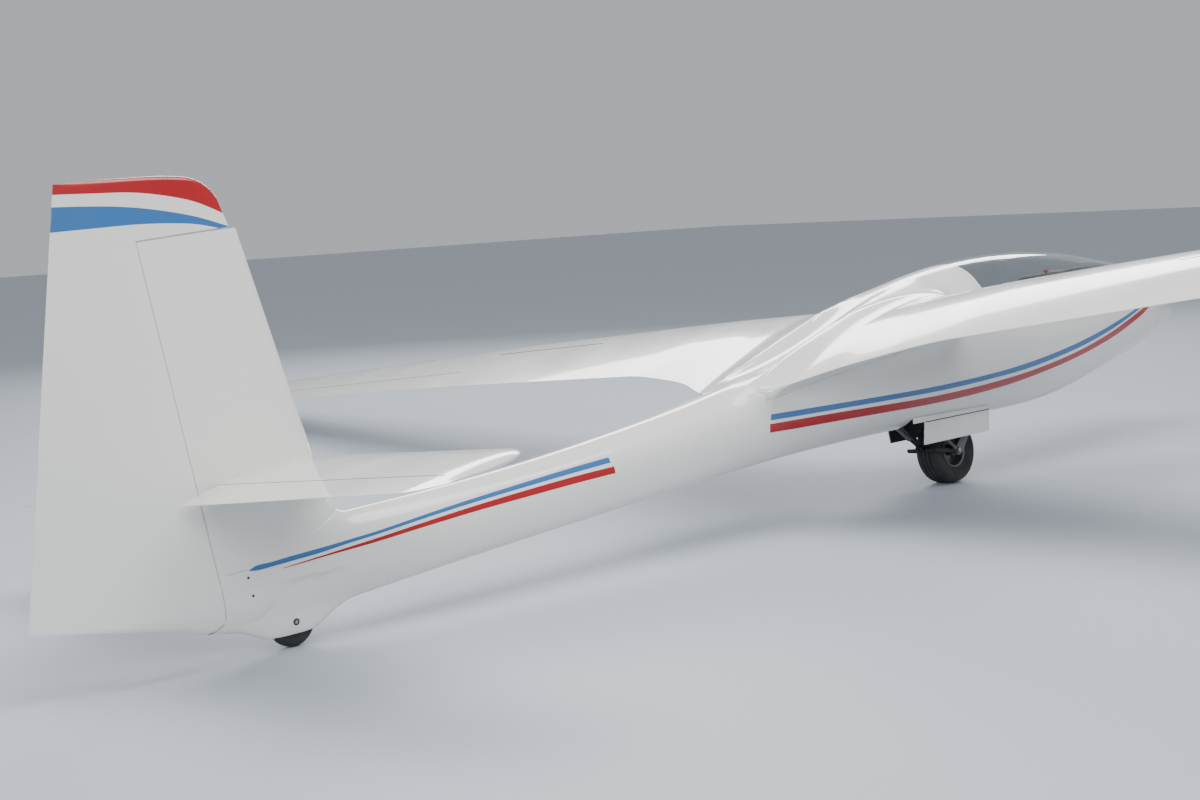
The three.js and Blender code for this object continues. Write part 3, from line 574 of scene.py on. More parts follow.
def speckle(material, scale, amount, detail, tint):
    """Mixes a tint into the colour in cloudy patches."""
    tree = material.node_tree
    source = shader_of(material).inputs["Base Color"]
    colour = tree.nodes.new("ShaderNodeMix")
    colour.data_type = "RGBA"
    colour.inputs["A"].default_value = source.default_value
    colour.inputs["B"].default_value = (*tint, 1)
    patches = spread(tree, noise(tree, scale, detail), 0.45, 0.75, 0.0, amount)
    tree.links.new(patches, colour.inputs["Factor"])
    tree.links.new(colour.outputs["Result"], source)
    return material


def noise(tree, scale, detail):
    """A cloudy grey value that is fixed to the object."""
    coordinates = tree.nodes.new("ShaderNodeTexCoord")
    cloud = tree.nodes.new("ShaderNodeTexNoise")
    cloud.inputs["Scale"].default_value = scale
    cloud.inputs["Detail"].default_value = detail
    tree.links.new(coordinates.outputs["Object"], cloud.inputs["Vector"])
    return cloud.outputs["Fac"]


def uneven(material, scale, low, high):
    """Varies the roughness between two values."""
    tree = material.node_tree
    rough = spread(tree, noise(tree, scale, 4.0), 0.3, 0.7, low, high)
    tree.links.new(rough, shader_of(material).inputs["Roughness"])
    return material


def bumped(material, scale, depth, strength, detail=3.0):
    """A fine relief."""
    return relief(material, noise(material.node_tree, scale, detail), depth, strength)


def woven(material, pitch, depth):
    """The relief of a plain weave, made of two waves that cross."""
    tree = material.node_tree
    coordinates = tree.nodes.new("ShaderNodeTexCoord")
    weave = tree.nodes.new("ShaderNodeMath")
    weave.operation = "MULTIPLY"
    for number, direction in enumerate(("X", "Y")):
        wave = tree.nodes.new("ShaderNodeTexWave")
        wave.bands_direction = direction
        wave.inputs["Scale"].default_value = 1 / pitch / 3.2
        tree.links.new(coordinates.outputs["Object"], wave.inputs["Vector"])
        tree.links.new(wave.outputs["Fac"], weave.inputs[number])
    return relief(material, weave.outputs["Value"], depth)


def make_gelcoat():
    material = new_material("gelcoat", (0.845, 0.835, 0.800), 0.16, coat=0.7)
    speckle(material, 1.6, 0.08, 5.0, tint=(0.70, 0.68, 0.63))
    uneven(material, 3.0, 0.13, 0.24)
    return bumped(material, 9.0, 0.0009, 0.12, detail=1.0)


def make_paint(name, colour):
    material = new_material(name, colour, 0.2, coat=0.5)
    speckle(material, 5.0, 0.14, 4.0, tint=tinted(colour, 0.6))
    return uneven(material, 4.0, 0.16, 0.28)


def make_rubber():
    material = new_material("rubber", (0.020, 0.020, 0.021), 0.72)
    speckle(material, 14.0, 0.5, 6.0, tint=(0.055, 0.052, 0.048))
    uneven(material, 20.0, 0.6, 0.85)
    return bumped(material, 900.0, 0.0002, 0.5)


def make_metal(name, colour, low, high):
    material = new_material(name, colour, low, metallic=0.9)
    speckle(material, 25.0, 0.35, 5.0, tint=tinted(colour, 0.55))
    uneven(material, 60.0, low, high)
    return bumped(material, 400.0, 0.0001, 0.3)


def make_lining():
    material = new_material("lining", (0.30, 0.305, 0.31), 0.62)
    speckle(material, 260.0, 0.8, 2.0, tint=(0.13, 0.13, 0.14))
    return bumped(material, 320.0, 0.0003, 0.6)


def make_plastic(name, colour, roughness=0.55):
    material = new_material(name, colour, roughness)
    speckle(material, 8.0, 0.3, 5.0, tint=tuple(1.8 * c + 0.01 for c in colour))
    return bumped(material, 700.0, 0.0002, 0.5)


def make_glass():
    material = new_material("clear", (0.80, 0.835, 0.85), 0.015)
    shader = shader_of(material)
    shader.inputs["Transmission Weight"].default_value = 1.0
    shader.inputs["IOR"].default_value = 1.49
    return uneven(material, 5.0, 0.008, 0.03)


def make_cloth(name, colour, pitch=0.0022):
    material = new_material(name, colour, 0.88)
    shader_of(material).inputs["Sheen Weight"].default_value = 0.25
    speckle(material, 12.0, 0.35, 5.0, tint=tinted(colour, 0.5))
    return woven(material, pitch, 0.0005)


WHITE = make_gelcoat()
BLUE = make_paint("stripe_blue", (0.030, 0.150, 0.400))
RED = make_paint("stripe_red", (0.400, 0.004, 0.009))
RUBBER = make_rubber()
STEEL = make_metal("steel", (0.42, 0.43, 0.44), 0.28, 0.5)
SILVER = make_metal("silver_paint", (0.17, 0.175, 0.175), 0.40, 0.5)
DARK_METAL = make_metal("dark_metal", (0.055, 0.055, 0.058), 0.4, 0.6)
LINING = make_lining()
BLACK = make_plastic("black_grain", (0.016, 0.016, 0.018))
GREY = make_plastic("grey_plastic", (0.21, 0.215, 0.22))
# Near-black plastic: painted shade on the walls of the wheel bay, the tail wheel's well and the airbrake
# slots, and on the doors' inner faces; also the plain near-black of the gear tubes, the tail axle washers
# and the fairing's seam.
SHADE_AND_DARK_PARTS = make_plastic("painted_shade_and_dark_parts", (0.022, 0.023, 0.025), 0.7)
GLASS = make_glass()
CLOTH = make_cloth("seat_cloth", (0.045, 0.055, 0.075))
WEBBING = make_cloth("webbing", (0.020, 0.022, 0.028), 0.0016)
KNOB_RED = make_plastic("knob_red", (0.50, 0.012, 0.012), 0.35)
KNOB_BLUE = make_plastic("knob_blue", (0.02, 0.10, 0.42), 0.35)
KNOB_YELLOW = make_plastic("knob_yellow", (0.75, 0.48, 0.02), 0.35)
KNOB_GREEN = make_plastic("knob_green", (0.02, 0.26, 0.07), 0.35)
DIAL = make_plastic("dial", (0.009, 0.009, 0.010), 0.3)
PRINT = make_plastic("dial_print", (0.75, 0.75, 0.72), 0.5)


# Fuselage
def fuselage_rows(x):
    """The table of stations, read smoothly at many places along the fuselage."""
    knots = np.sqrt(NOSE_X - FUSELAGE[:, 0])
    at = np.sqrt(np.clip(NOSE_X - np.asarray(x, float), 0, None))
    names = ("bottom", "top", "half", "mid", "full")
    return {name: spline(knots, FUSELAGE[:, k + 1], at) for k, name in enumerate(names)}


def fuselage_grid(x, count=128, inset=0.0, keel=True):
    """Rings of the fuselage, with the tail wheel's fairing blended in below."""
    rows = fuselage_rows(x)
    angle = np.linspace(0, 2 * np.pi, count, endpoint=False)
    c = np.cos(angle)[None, :]
    s = np.sin(angle)[None, :]
    power = 2 / rows["full"][:, None]
    mid = rows["mid"][:, None]
    rise = np.where(s > 0, rows["top"][:, None] - mid, mid - rows["bottom"][:, None])
    y = np.sign(c) * np.abs(c) ** power * np.maximum(rows["half"][:, None] - inset, 0.001)
    z = np.sign(s) * np.abs(s) ** power * np.maximum(rise - inset, 0.001)
    if keel:
        grow = keel_growth(np.asarray(x), y, z, mid, s < 0)
        y = y * grow
        z = z * grow
    grid = np.zeros((len(x), count, 3))
    grid[:, :, 0] = np.asarray(x)[:, None]
    grid[:, :, 1] = y
    grid[:, :, 2] = z + mid
    return grid


def keel_growth(x, y, z, mid, below):
    """How far the tail wheel's fairing pushes each point of a ring outwards, as a factor."""
    low = eased(KEEL[::-1, 0], KEEL[::-1, 1], x)[:, None]
    live = ((x < KEEL[0, 0]) & (x > KEEL[-1, 0]))[:, None]
    reach = np.hypot(y, z)
    across = (np.abs(y) / reach / KEEL_HALF) ** KEEL_FULL
    down = (np.abs(z) / reach / (mid - low)) ** KEEL_FULL
    fairing = 1 / (across + down) ** (1 / KEEL_FULL)
    h = np.clip(0.5 + 0.5 * (fairing - reach) / KEEL_SOFT, 0, 1)
    union = mix(reach, fairing, h) + KEEL_SOFT * h * (1 - h)
    return np.where(live & below, union / reach, 1.0)


def fuselage_stations():
    """Places of the rings: dense at the nose, and where the fairing and the fin begin."""
    nose = NOSE_X - np.linspace(0.02, math.sqrt(NOSE_X - 2.0), 22) ** 2
    stretches = ((1.98, -0.1, 0.022), (-0.1, -1.7, 0.012), (-1.7, -3.3, 0.028), (-3.3, POST_X, 0.011))
    rest = [np.arange(start, end, -step) for start, end, step in stretches]
    return np.concatenate([nose, *rest, [POST_X]])


# Wings
def wing_rows(y):
    names = ("lead", "trail", "lead_z", "trail_z", "thick")
    return {name: eased(WING[:, 0], WING[:, k + 1], y) for k, name in enumerate(names)}


def wing_points(y, along, lift, side):
    """Points of the wing at span positions, by chord fraction and height over the chord line."""
    rows = wing_rows(y)
    back = np.stack([rows["trail"] - rows["lead"], rows["trail_z"] - rows["lead_z"]], -1)
    length = np.linalg.norm(back, axis=-1)
    dx = back[..., 0]
    dz = back[..., 1]
    rise = 4 * CAMBER * along * (1 - along) * length + lift
    x = rows["lead"] + dx * along + rise * dz / length
    z = rows["lead_z"] + dz * along - rise * dx / length
    return np.stack(np.broadcast_arrays(x, side * y, z), -1)


def wing_half(y, along):
    rows = wing_rows(y)
    length = np.hypot(rows["trail"] - rows["lead"], rows["trail_z"] - rows["lead_z"])
    return half_at(along, rows["thick"]) * length


def wing_grid(y, side):
    along, sign = section()
    y = np.asarray(y, float)[:, None]
    lift = sign[None, :] * wing_half(y, along[None, :])
    return wing_points(y, along[None, :], lift, side)


def wing_stations():
    tip = 7.5 - 0.25 * (1 - np.sin(np.linspace(0, np.pi / 2, 12)))
    return np.concatenate([np.arange(0.05, 0.62, 0.010), np.arange(0.62, 1.0, 0.03),
                           np.arange(1.0, 7.25, 0.0893), tip])


def centre_wing():
    """The inner parts of both wings as one form that runs through the body."""
    y = np.arange(0, 1.2, 0.02)
    return outward(loft(np.concatenate([wing_grid(y[1:][::-1], -1), wing_grid(y, 1)])))


def hinge_spot(y, side):
    return wing_points(np.asarray(y, float), AILERON["hinge"], 0.0, side)


# Soft junctions
def signed_gap(tree, point):
    spot, normal, _, distance = tree.find_nearest(point)
    outside = (point - spot).dot(normal)
    return (distance if outside >= 0 else -distance), normal


def vertex_normals(form):
    """The smooth normals of a form's points."""
    mesh = bpy.data.meshes.new("normals")
    mesh.from_pydata(np.asarray(form[0]).tolist(), [], form[1])
    normals = np.zeros(len(form[0]) * 3)
    mesh.vertex_normals.foreach_get("vector", normals)
    bpy.data.meshes.remove(mesh)
    return normals.reshape(-1, 3)


def blended(form, other, reaches, near, fade=0.0):
    """Lifts a surface towards its neighbour, so that the two meet in a hollow curve.

    The reach of the curve is given at rising places along x. Within the fade distance of the plane of
    symmetry the lift dies out, so that a ridge there stays as it is."""
    points, faces = form
    normals = vertex_normals(form)
    tree = tree_of(other)
    result = points.copy()
    low, high = near
    chosen = np.where(((points >= low) & (points <= high)).all(1))[0]
    for index in chosen:
        reach = float(np.interp(points[index, 0], *reaches))
        gap, normal = signed_gap(tree, Vector(points[index]))
        if gap > reach or gap < -reach:
            continue
        lean = float(np.dot(normals[index], normal))
        lift = 0.0
        for _ in range(25):
            h = max(1 - abs(lift - gap - lean * lift) / reach, 0)
            lift = 0.5 * lift + 0.5 * reach / 4 * h * h
        if fade:
            share = min(abs(points[index, 1]) / fade, 1.0)
            lift = lift * share * share * (3 - 2 * share)
        result[index] = points[index] + normals[index] * lift
    return result, faces


# Tail
def line_x(line, z):
    (x0, z0), (x1, z1) = line
    return mix(x0, x1, (z - z0) / (z1 - z0))


def foot_share(x, z):
    """Share of the full thickness that the vertical tail keeps near its lower end."""
    under = eased(FOOT[:, 0], FOOT[:, 1], x)
    reach = eased(FOOT[:, 0], FOOT[:, 2], x)
    deep = np.clip((under + reach - z) / reach, 0, 0.998)
    return (1 - deep ** FOOT_FULL) ** (1 / FOOT_FULL)


def fin_half(x, z):
    """Half the thickness of the vertical tail at any place on its side."""
    nose = line_x(FIN_NOSE, z)
    chord = nose - line_x(FIN_REAR, z)
    along = np.clip((nose - x) / chord, 0, 1)
    return half_at(along, FIN_THICK) * chord * foot_share(x, z)


def fin_grid(rows, top):
    """Rings of the vertical tail, from its foot up to its rounded crown, which is a table of x and z."""
    along, sign = section(40)
    low = 0.14 * (1 - np.cos(np.linspace(0, np.pi / 2, 24)))
    high = 1 - 0.04 * (1 - np.sin(np.linspace(0, np.pi / 2, 14)))
    v = np.concatenate([low[:-1], np.linspace(low[-1], high[0], rows)[:-1], high])[:, None]
    z = 0.1 + (CROWN_TOP - 0.1) * v + 0 * along[None, :]
    for _ in range(12):
        nose = line_x(FIN_NOSE, z)
        chord = nose - line_x(FIN_REAR, z)
        x = nose - chord * along[None, :]
        crown = eased(top[:, 0], top[:, 1], x)
        under = eased(FOOT[:, 0], FOOT[:, 1], x)
        z = mix(under, crown, v)
    edge = np.clip((z - crown + CROWN_ROUND) / CROWN_ROUND, 0, 1)
    y = sign[None, :] * half_at(along[None, :], FIN_THICK) * chord * np.sqrt(1 - (edge * 0.995) ** 2)
    return np.stack(np.broadcast_arrays(x, y * foot_share(x, z), z), -1)


def hinge_at(z):
    return np.array([line_x(FIN_HINGE, z), 0.0, z])


def tail_row(y):
    """Leading edge, chord and share of the full thickness, with the rounded tip."""
    t = np.asarray(y, float) / TAILPLANE["half"]
    tip = np.clip((np.asarray(y, float) - 1.33) / (TAILPLANE["half"] - 1.33), 0, 1)
    front = 0.225 * (1 - np.sqrt(np.clip(1 - tip ** 2.2, 0, 1)))
    rear = 0.076 * tip ** 3
    chord = mix(TAILPLANE["chord_root"], TAILPLANE["chord_tip"], t) - front - rear
    lead = mix(TAILPLANE["lead_root"], TAILPLANE["lead_tip"], t) - front
    return {"lead": lead, "chord": chord, "thin": np.sqrt(np.clip(1 - (tip * 0.985) ** 4, 0, 1))}


def plane_z(x):
    return TAILPLANE["z_root"] - TAILPLANE["drop"] * (TAILPLANE["lead_root"] - x)


def tail_points(y, along, side, sign):
    row = tail_row(y)
    up = sign * half_at(along, TAILPLANE["thick"] * row["thin"]) * row["chord"]
    x = row["lead"] - along * row["chord"]
    z = plane_z(x) + up
    return np.stack(np.broadcast_arrays(x - up * TAILPLANE["drop"], side * np.asarray(y, float), z), -1)


def tail_half(y):
    """Half the tailplane's thickness at the elevator hinge."""
    row = tail_row(y)
    along = (row["lead"] - TAILPLANE["hinge_x"]) / row["chord"]
    return half_at(along, TAILPLANE["thick"] * row["thin"]) * row["chord"]


def round_front(radius):
    """Half a circle about a hinge, from one side over the front to the other."""
    return [(radius * math.cos(a), radius * math.sin(a)) for a in np.linspace(np.pi / 2, -np.pi / 2, 25)]


def hinge_cutter(start, end, radii, side, aft, leans=(0.0, 0.0)):
    """The space behind a hinge that runs across the airframe, with a round front about the hinge."""
    rings = []
    for spot, radius, lean in zip((start, end), radii, leans):
        back = [(-aft, -CUTTER_TALL), (-aft, CUTTER_TALL), (0.0, CUTTER_TALL)]
        outline = np.array(back + round_front(radius) + [(0.0, -CUTTER_TALL)])
        ring = np.array(spot, float) + np.stack(
            [outline[:, 0], side * lean * outline[:, 0], outline[:, 1]], 1)
        rings.append(ring)
    return outward(loft(rings))


# Raw surfaces and their soft junctions: places along x and the reach there, and the region of each
ROOT_BLEND = ((-2.0, 1.0), (0.15, 0.15))
ROOT_FADE = 0.12
FIN_BLEND = ((-3.90, -3.60), (0.005, 0.070))
fuselage_raw = outward(loft(fuselage_grid(fuselage_stations())))
wing_raw = {side: outward(loft(wing_grid(wing_stations(), side))) for side in (1, -1)}
fin_raw = outward(loft(fin_grid(60, FIN_CROWN)))
fuselage_skin = blended(fuselage_raw, centre_wing(), ROOT_BLEND,
                        ((-1.75, -0.5, 0.35), (0.25, 0.5, 1.2)), ROOT_FADE)
fuselage_skin = blended(fuselage_skin, fin_raw, FIN_BLEND, ((-3.90, -0.2, 0.24), (-3.2, 0.2, 0.7)))
wing_skin = {side: blended(wing_raw[side], fuselage_raw, ROOT_BLEND,
                           ((-1.75, min(side * 0.055, side * 0.7), 0.35),
                            (0.25, max(side * 0.055, side * 0.7), 1.2)), ROOT_FADE)
             for side in (1, -1)}
fin_skin = blended(fin_raw, fuselage_raw, FIN_BLEND, ((-3.90, -0.2, 0.24), (-3.3, 0.2, 0.7)))
SKIN_TREE = tree_of(merged(fuselage_skin, fin_skin))


def canopy_outline(shrink):
    """The canopy's edge seen from the side, moved inwards."""
    rear = CANOPY["rear"] + shrink
    front = CANOPY["front"] - shrink
    low_rear = CANOPY["sill_rear"] + shrink
    low_front = CANOPY["sill_front"] + shrink
    middle = mix(CANOPY["sill_rear"], CANOPY["sill_front"], 0.42) - 0.008 + shrink
    corners = [(rear + 0.022, 1.3), (rear, 0.94), (rear + 0.042, low_rear),
               (mix(CANOPY["rear"], CANOPY["front"], 0.5), middle),
               (front - 0.06, low_front), (front, 1.3)]
    return rounded(corners, [0, 0.12, 0.03, 0.3, 0.06, 0])


# Fuselage shell
def cabin_form(inset, front=2.12, rear=0.03):
    """The room inside the fuselage, drawn in from the skin."""
    x = np.concatenate([np.linspace(front, 1.9, 8), np.arange(1.86, 0.03, -0.04), [rear]])
    return outward(loft(fuselage_grid(x, 96, inset, keel=False)))


def make_fuselage():
    """The shell with the cabin, the canopy opening, the wheel bay, the tail wheel's well and the channel."""
    shell = as_object("fuselage", fuselage_skin, WHITE)
    inner = as_object("cabin", cabin_form(WALL))
    room = prism([(2.110, 0.5), (2.110, 1.2), (0.06, 1.2), (0.07, 0.985), (0.33, 0.62),
                  (0.42, 0.30), (2.110, 0.30)], -BEYOND, BEYOND)
    carve(inner, room, LINING, KEPT)
    carve(shell, inner, LINING)
    carve(shell, prism(canopy_outline(-CANOPY["gap"]), -BEYOND, BEYOND), WHITE)
    bay_corners = [(BAY["rear"], -BAY["half"]), (BAY["front"], -BAY["half"]),
                   (BAY["front"], BAY["half"]), (BAY["rear"], BAY["half"])]
    bay = prism(rounded(bay_corners, 0.02), 0.2, BAY["top"], across="z")
    # The bay's walls get the near-black material as painted shade.
    carve(shell, bay, SHADE_AND_DARK_PARTS)
    wheel = TAIL_WHEEL
    well = rod((wheel["x"], -0.030, wheel["radius"]), (wheel["x"], 0.030, wheel["radius"]),
               wheel["radius"] + 0.008, 64)
    # The well's walls get the near-black material as painted shade.
    carve(shell, well, SHADE_AND_DARK_PARTS)
    carve(shell, rudder_channel(0.3), WHITE)
    smooth_like(shell, fuselage_skin)
    finish_piece(shell, "airframe", HULL)


# Vertical tail: the fixed fin, and the rudder with its painted bands
def rudder_cutter(low, high, clear, aft):
    """The space behind the rudder hinge between two heights, with a round front."""
    rings = []
    for z in np.concatenate([[low], np.arange(0.13, 0.29, 0.02), [high]]):
        spot = hinge_at(z)
        radius = float(fin_half(spot[0], max(z, 0.12))) + clear
        back = [(-aft, CUTTER_TALL), (0.0, CUTTER_TALL)]
        outline = np.array(back + round_front(radius) + [(0.0, -CUTTER_TALL), (-aft, -CUTTER_TALL)])
        rings.append(spot + np.stack([outline[:, 0], outline[:, 1], outline[:, 0] * HINGE_RISE], 1))
    return outward(loft(rings))


def over_foot(shift):
    """Everything above the rudder's lower edge, which is moved up by a shift."""
    rear = [(-4.300, 0.160 + shift), (-4.600, 0.2235 + shift), (-4.634, 0.240 + shift), (-4.70, 0.29)]
    front = [(x + shift * 0.6, z + shift) for x, z in FOOT_GAP]
    above = [(-4.70, 2.0), (-3.0, 2.0), (-3.0, FOOT_GAP[0][1] + shift)]
    return prism(front + rear + above, -BEYOND, BEYOND)


def over_horn(shift=0.0):
    """Everything above the horn's lower edge, which is square to the hinge and moved up by a shift."""
    hinge_x = hinge_at(HORN_Z)[0]
    edge = [(x, HORN_Z + shift + (x - hinge_x) * HINGE_RISE) for x in (HORN_REAR, HORN_FRONT)]
    return prism(edge + [(HORN_FRONT, 1.9), (HORN_REAR, 1.9)], -0.3, 0.3)


def rudder_channel(aft):
    """The space that the fixed tail leaves for the rudder."""
    channel = as_object("channel", rudder_cutter(0.05, HORN_Z + 0.2, CHANNEL_CLEAR, aft), WHITE)
    carve(channel, over_foot(-0.0040), WHITE, KEPT)
    return channel


def make_fin():
    rear = POST_X - 0.002
    behind = prism([(rear, -0.1), (rear, 0.6), (-4.9, 0.6), (-4.9, -0.1)], -0.3, 0.3)
    cuts = ((rudder_channel(0.9), LOST), (behind, LOST), (over_horn(-0.006), LOST))
    skin_piece("fin", fin_skin, WHITE, cuts, "airframe", ("tail_boom_and_fin",))


def make_rudder():
    whole = outward(loft(fin_grid(80, CROWN)))
    blade = rudder_cutter(0.06, HORN_Z + 0.10, NOSE_GROW, 0.9)
    cuts = ((blade, KEPT), (over_horn(), LOST), (over_foot(0.0035), KEPT))
    skin_piece("rudder", whole, WHITE, cuts, "rudder", ("rudder",))
    x = np.linspace(-4.46, -3.70, 40)
    low, high, red = (np.stack([x, eased(BANDS[:, 0], BANDS[:, k], x)], 1).tolist() for k in (1, 2, 3))
    foot, top = ([(x[0], z), (x[-1], z)] for z in (1.30, 1.90))
    for name, under, over, material in (("horn_foot", foot, low, WHITE), ("blue_band", low, high, BLUE),
                                        ("white_band", high, red, WHITE), ("red_tip", red, top, RED)):
        cuts = ((over_horn(), KEPT), (prism(under[::-1] + over, -0.3, 0.3), KEPT))
        skin_piece(f"rudder_{name}", whole, material, cuts, "rudder", ("rudder",))


# Wings, ailerons and airbrakes
def brake_slot(side):
    """The space of the airbrake's slot, from inside the wing to above its skin."""
    half = BRAKE["slot"] / 2
    rings = []
    for y in (BRAKE["inner"], BRAKE["outer"]):
        middle = wing_points(np.asarray(y), BRAKE["at"], 0.0, side)
        top = middle[2] + float(wing_half(np.asarray(y), BRAKE["at"]))
        rings.append([(middle[0] + dx, side * y, top + dz)
                      for dx, dz in ((-half, -0.16), (half, -0.16), (half, 0.06), (-half, 0.06))])
    return outward(loft(rings))


def make_wing(side, name):
    """The fixed wing with its aileron's channel and its airbrake's slot, and the aileron."""
    inner = AILERON["inner"]
    outer = AILERON["outer"]
    spots = [hinge_spot(y, side) for y in (inner, outer)]
    moving_spots = [hinge_spot(y, side) for y in (inner + RUN, outer - RUN)]
    halves = [float(wing_half(np.asarray(y), AILERON["hinge"])) for y in (inner, outer)]
    wing = as_object(f"wing_{name}", wing_skin[side], WHITE)
    carve(wing, hinge_cutter(*spots, [h + CHANNEL_CLEAR for h in halves], side, 0.4), WHITE)
    # The slot's walls get the near-black material as painted shade.
    carve(wing, brake_slot(side), SHADE_AND_DARK_PARTS)
    smooth_like(wing, wing_skin[side])
    finish_piece(wing, "airframe", (f"wing_{name}",))
    aileron = hinge_cutter(*moving_spots, [h + NOSE_GROW for h in halves], side, 0.4)
    skin_piece(f"aileron_{name}", wing_skin[side], WHITE, ((aileron, KEPT),), f"aileron_{name}",
               (f"aileron_{name}",))


def make_brake(side, name):
    """The blade in its slot, with a cap that follows the wing's upper face."""
    at = BRAKE["at"]
    half = BRAKE["thick"] / 2
    cap = BRAKE["cap"]
    under = BRAKE["cap_thick"]
    rings = []
    for y in np.linspace(BRAKE["inner"] + 0.0005, BRAKE["outer"] - 0.0005, 24):
        middle = wing_points(np.asarray(y), at, 0.0, side)
        low = middle[2] + float(wing_half(np.asarray(y), at)) - BRAKE["deep"] - 0.002
        row = wing_rows(np.asarray(y))
        chord = float(np.hypot(row["trail"] - row["lead"], row["trail_z"] - row["lead_z"]))
        ring = [(middle[0] - half, side * y, low), (middle[0] + half, side * y, low)]
        for dx, drop in ((half, under), (cap, under), (cap, 0.0), (0.0, 0.0), (-cap, 0.0), (-cap, under),
                         (-half, under)):
            along = at - dx / chord
            top = wing_points(np.asarray(y), along, float(wing_half(np.asarray(y), along)), side)
            ring.append((top[0], side * y, top[2] - drop))
        rings.append(ring)
    piece(f"airbrake_{name}", outward(loft(rings)), WHITE, f"airbrake_{name}", (f"airbrake_{name}",),
          angle=30)


# Horizontal tail
def tailplane_form(side):
    along, sign = section(36)
    tip = TAILPLANE["half"] - 0.155 * (1 - np.sin(np.linspace(0, np.pi / 2, 16)))
    y = np.concatenate([[0.02], np.arange(0.06, 1.33, 0.05), tip])
    rings = [tail_points(value, along, side, sign) for value in y]
    return outward(loft(rings))


def make_tailplane(side, name):
    whole = tailplane_form(side)
    hinge = [np.array([TAILPLANE["hinge_x"], side * y, plane_z(TAILPLANE["hinge_x"])])
             for y in (0.0, ELEVATOR["inner"], ELEVATOR["outer"], ELEVATOR["outer"] - RUN)]
    halves = [float(tail_half(ELEVATOR[end])) for end in ("inner", "outer")]
    leans = (ELEVATOR["inner_lean"], ELEVATOR["outer_lean"])
    channel = hinge_cutter(hinge[0], hinge[2], [h + CHANNEL_CLEAR for h in halves], side, 0.3,
                           leans=(0.0, leans[1]))
    skin_piece(f"stabiliser_{name}", whole, WHITE, ((channel, LOST),), "airframe", (f"stabiliser_{name}",))
    blade = hinge_cutter(hinge[1], hinge[3], [h + NOSE_GROW for h in halves], side, 0.3, leans=leans)
    skin_piece(f"elevator_{name}", whole, WHITE, ((blade, KEPT),), "elevator", (f"elevator_{name}",))


# Canopy
def make_canopy():
    """The frame, which has the canopy's outline less its middle, and the pane inside it."""
    x = np.concatenate([np.arange(1.99, 0.06, -0.02), [0.06]])
    skin = outward(loft(fuselage_grid(x, 160, keel=False)))
    grown = np.concatenate([[2.01], x[1:-1], [0.05]])
    parts = (("canopy_frame", CANOPY["frame"], 0.0, CANOPY["rim"], WHITE, "gelcoat_white"),
             ("canopy_glass", CANOPY["glass"], CANOPY["rim"] + 0.0004, None, GLASS, "clear_canopy"))
    for name, thick, outer, inner, material, slot in parts:
        shell = as_object(name, skin, material)
        inside = outward(loft(fuselage_grid(grown, 160, thick, keel=False)))
        carve(shell, prism(canopy_outline(outer), -BEYOND, BEYOND), material, KEPT)
        carve(shell, inside, material)
        if inner is not None:
            carve(shell, prism(canopy_outline(inner), -0.45, 0.45), material)
        smooth_like(shell, skin, inside)
        finish_piece(shell, "canopy", (name,))


# Wheels
def tyre_profile(wheel, grooves):
    """Side walls that bulge over the rim, square shoulders and a flat crown with grooves."""
    half = wheel["width"] / 2
    rim = wheel["rim"]
    depth = wheel["radius"] - rim
    square = 0.40 if grooves else 0.75
    profile = [(rim, -half * 0.74), (rim + depth * 0.10, -half * 0.80)]
    for angle in np.radians(np.linspace(-86, 86, 43)):
        reach = rim + depth * 0.44 + depth * 0.56 * math.cos(angle) ** square
        across = half * math.copysign(abs(math.sin(angle)) ** 0.80, angle)
        profile.append((reach, across))
    profile += [(rim + depth * 0.10, half * 0.80), (rim, half * 0.74)]
    crown = rim + depth * 0.5
    for centre in grooves:
        kept = [spot for spot in profile if abs(spot[1] - centre) > 0.0042 or spot[0] < crown]
        first = next(k for k, spot in enumerate(kept) if spot[1] > centre and spot[0] > crown)
        top = kept[first][0]
        groove = [(top - drop, centre + across) for drop, across in
                  ((0.0, -0.0032), (0.004, -0.0024), (0.004, 0.0024), (0.0, 0.0032))]
        profile = kept[:first] + groove + kept[first:]
    return profile


def make_wheel(wheel, body, label, holes):
    """A tyre on its hub; the hub has a ring of round holes if their number is not 0."""
    centre = (wheel["x"], 0.0, wheel["radius"])
    across = (0, 1, 0)
    grooves = (-0.024, 0.0, 0.024) if holes else ()
    piece(f"{label}_tyre", turned(tyre_profile(wheel, grooves), centre, across, 96), RUBBER, body,
          (f"{label}_tyre",), angle=28)
    rim = wheel["rim"] - 0.0004
    half = wheel["hub_half"]
    bore = 0.012 if holes else 0.005
    profile = [(bore, -half), (bore * 2.0, -half), (bore * 2.2, -half * 0.92), (bore * 2.3, -half * 0.30),
               (rim * 0.80, -half * 0.22), (rim * 0.86, -half * 0.40), (rim * 0.88, -half * 0.94),
               (rim * 0.93, -half), (rim * 0.995, -half), (rim, -half * 0.9)]
    profile += [(radius, -along) for radius, along in profile[::-1]]
    hub = as_object(f"{label}_wheel_hub", turned(profile, centre, across, 72), SILVER)
    if holes:
        cutters = []
        for angle in 2 * math.pi * np.arange(holes) / holes:
            spot = np.array(centre) + rim * 0.58 * np.array([math.cos(angle), 0, math.sin(angle)])
            cutters.append(rod(spot + (0, -half, 0), spot + (0, half, 0), rim * 0.13, 20))
        carve(hub, merged(*cutters), SILVER)
    shade(hub, 30)
    finish_piece(hub, body, (f"{label}_wheel_hub",))


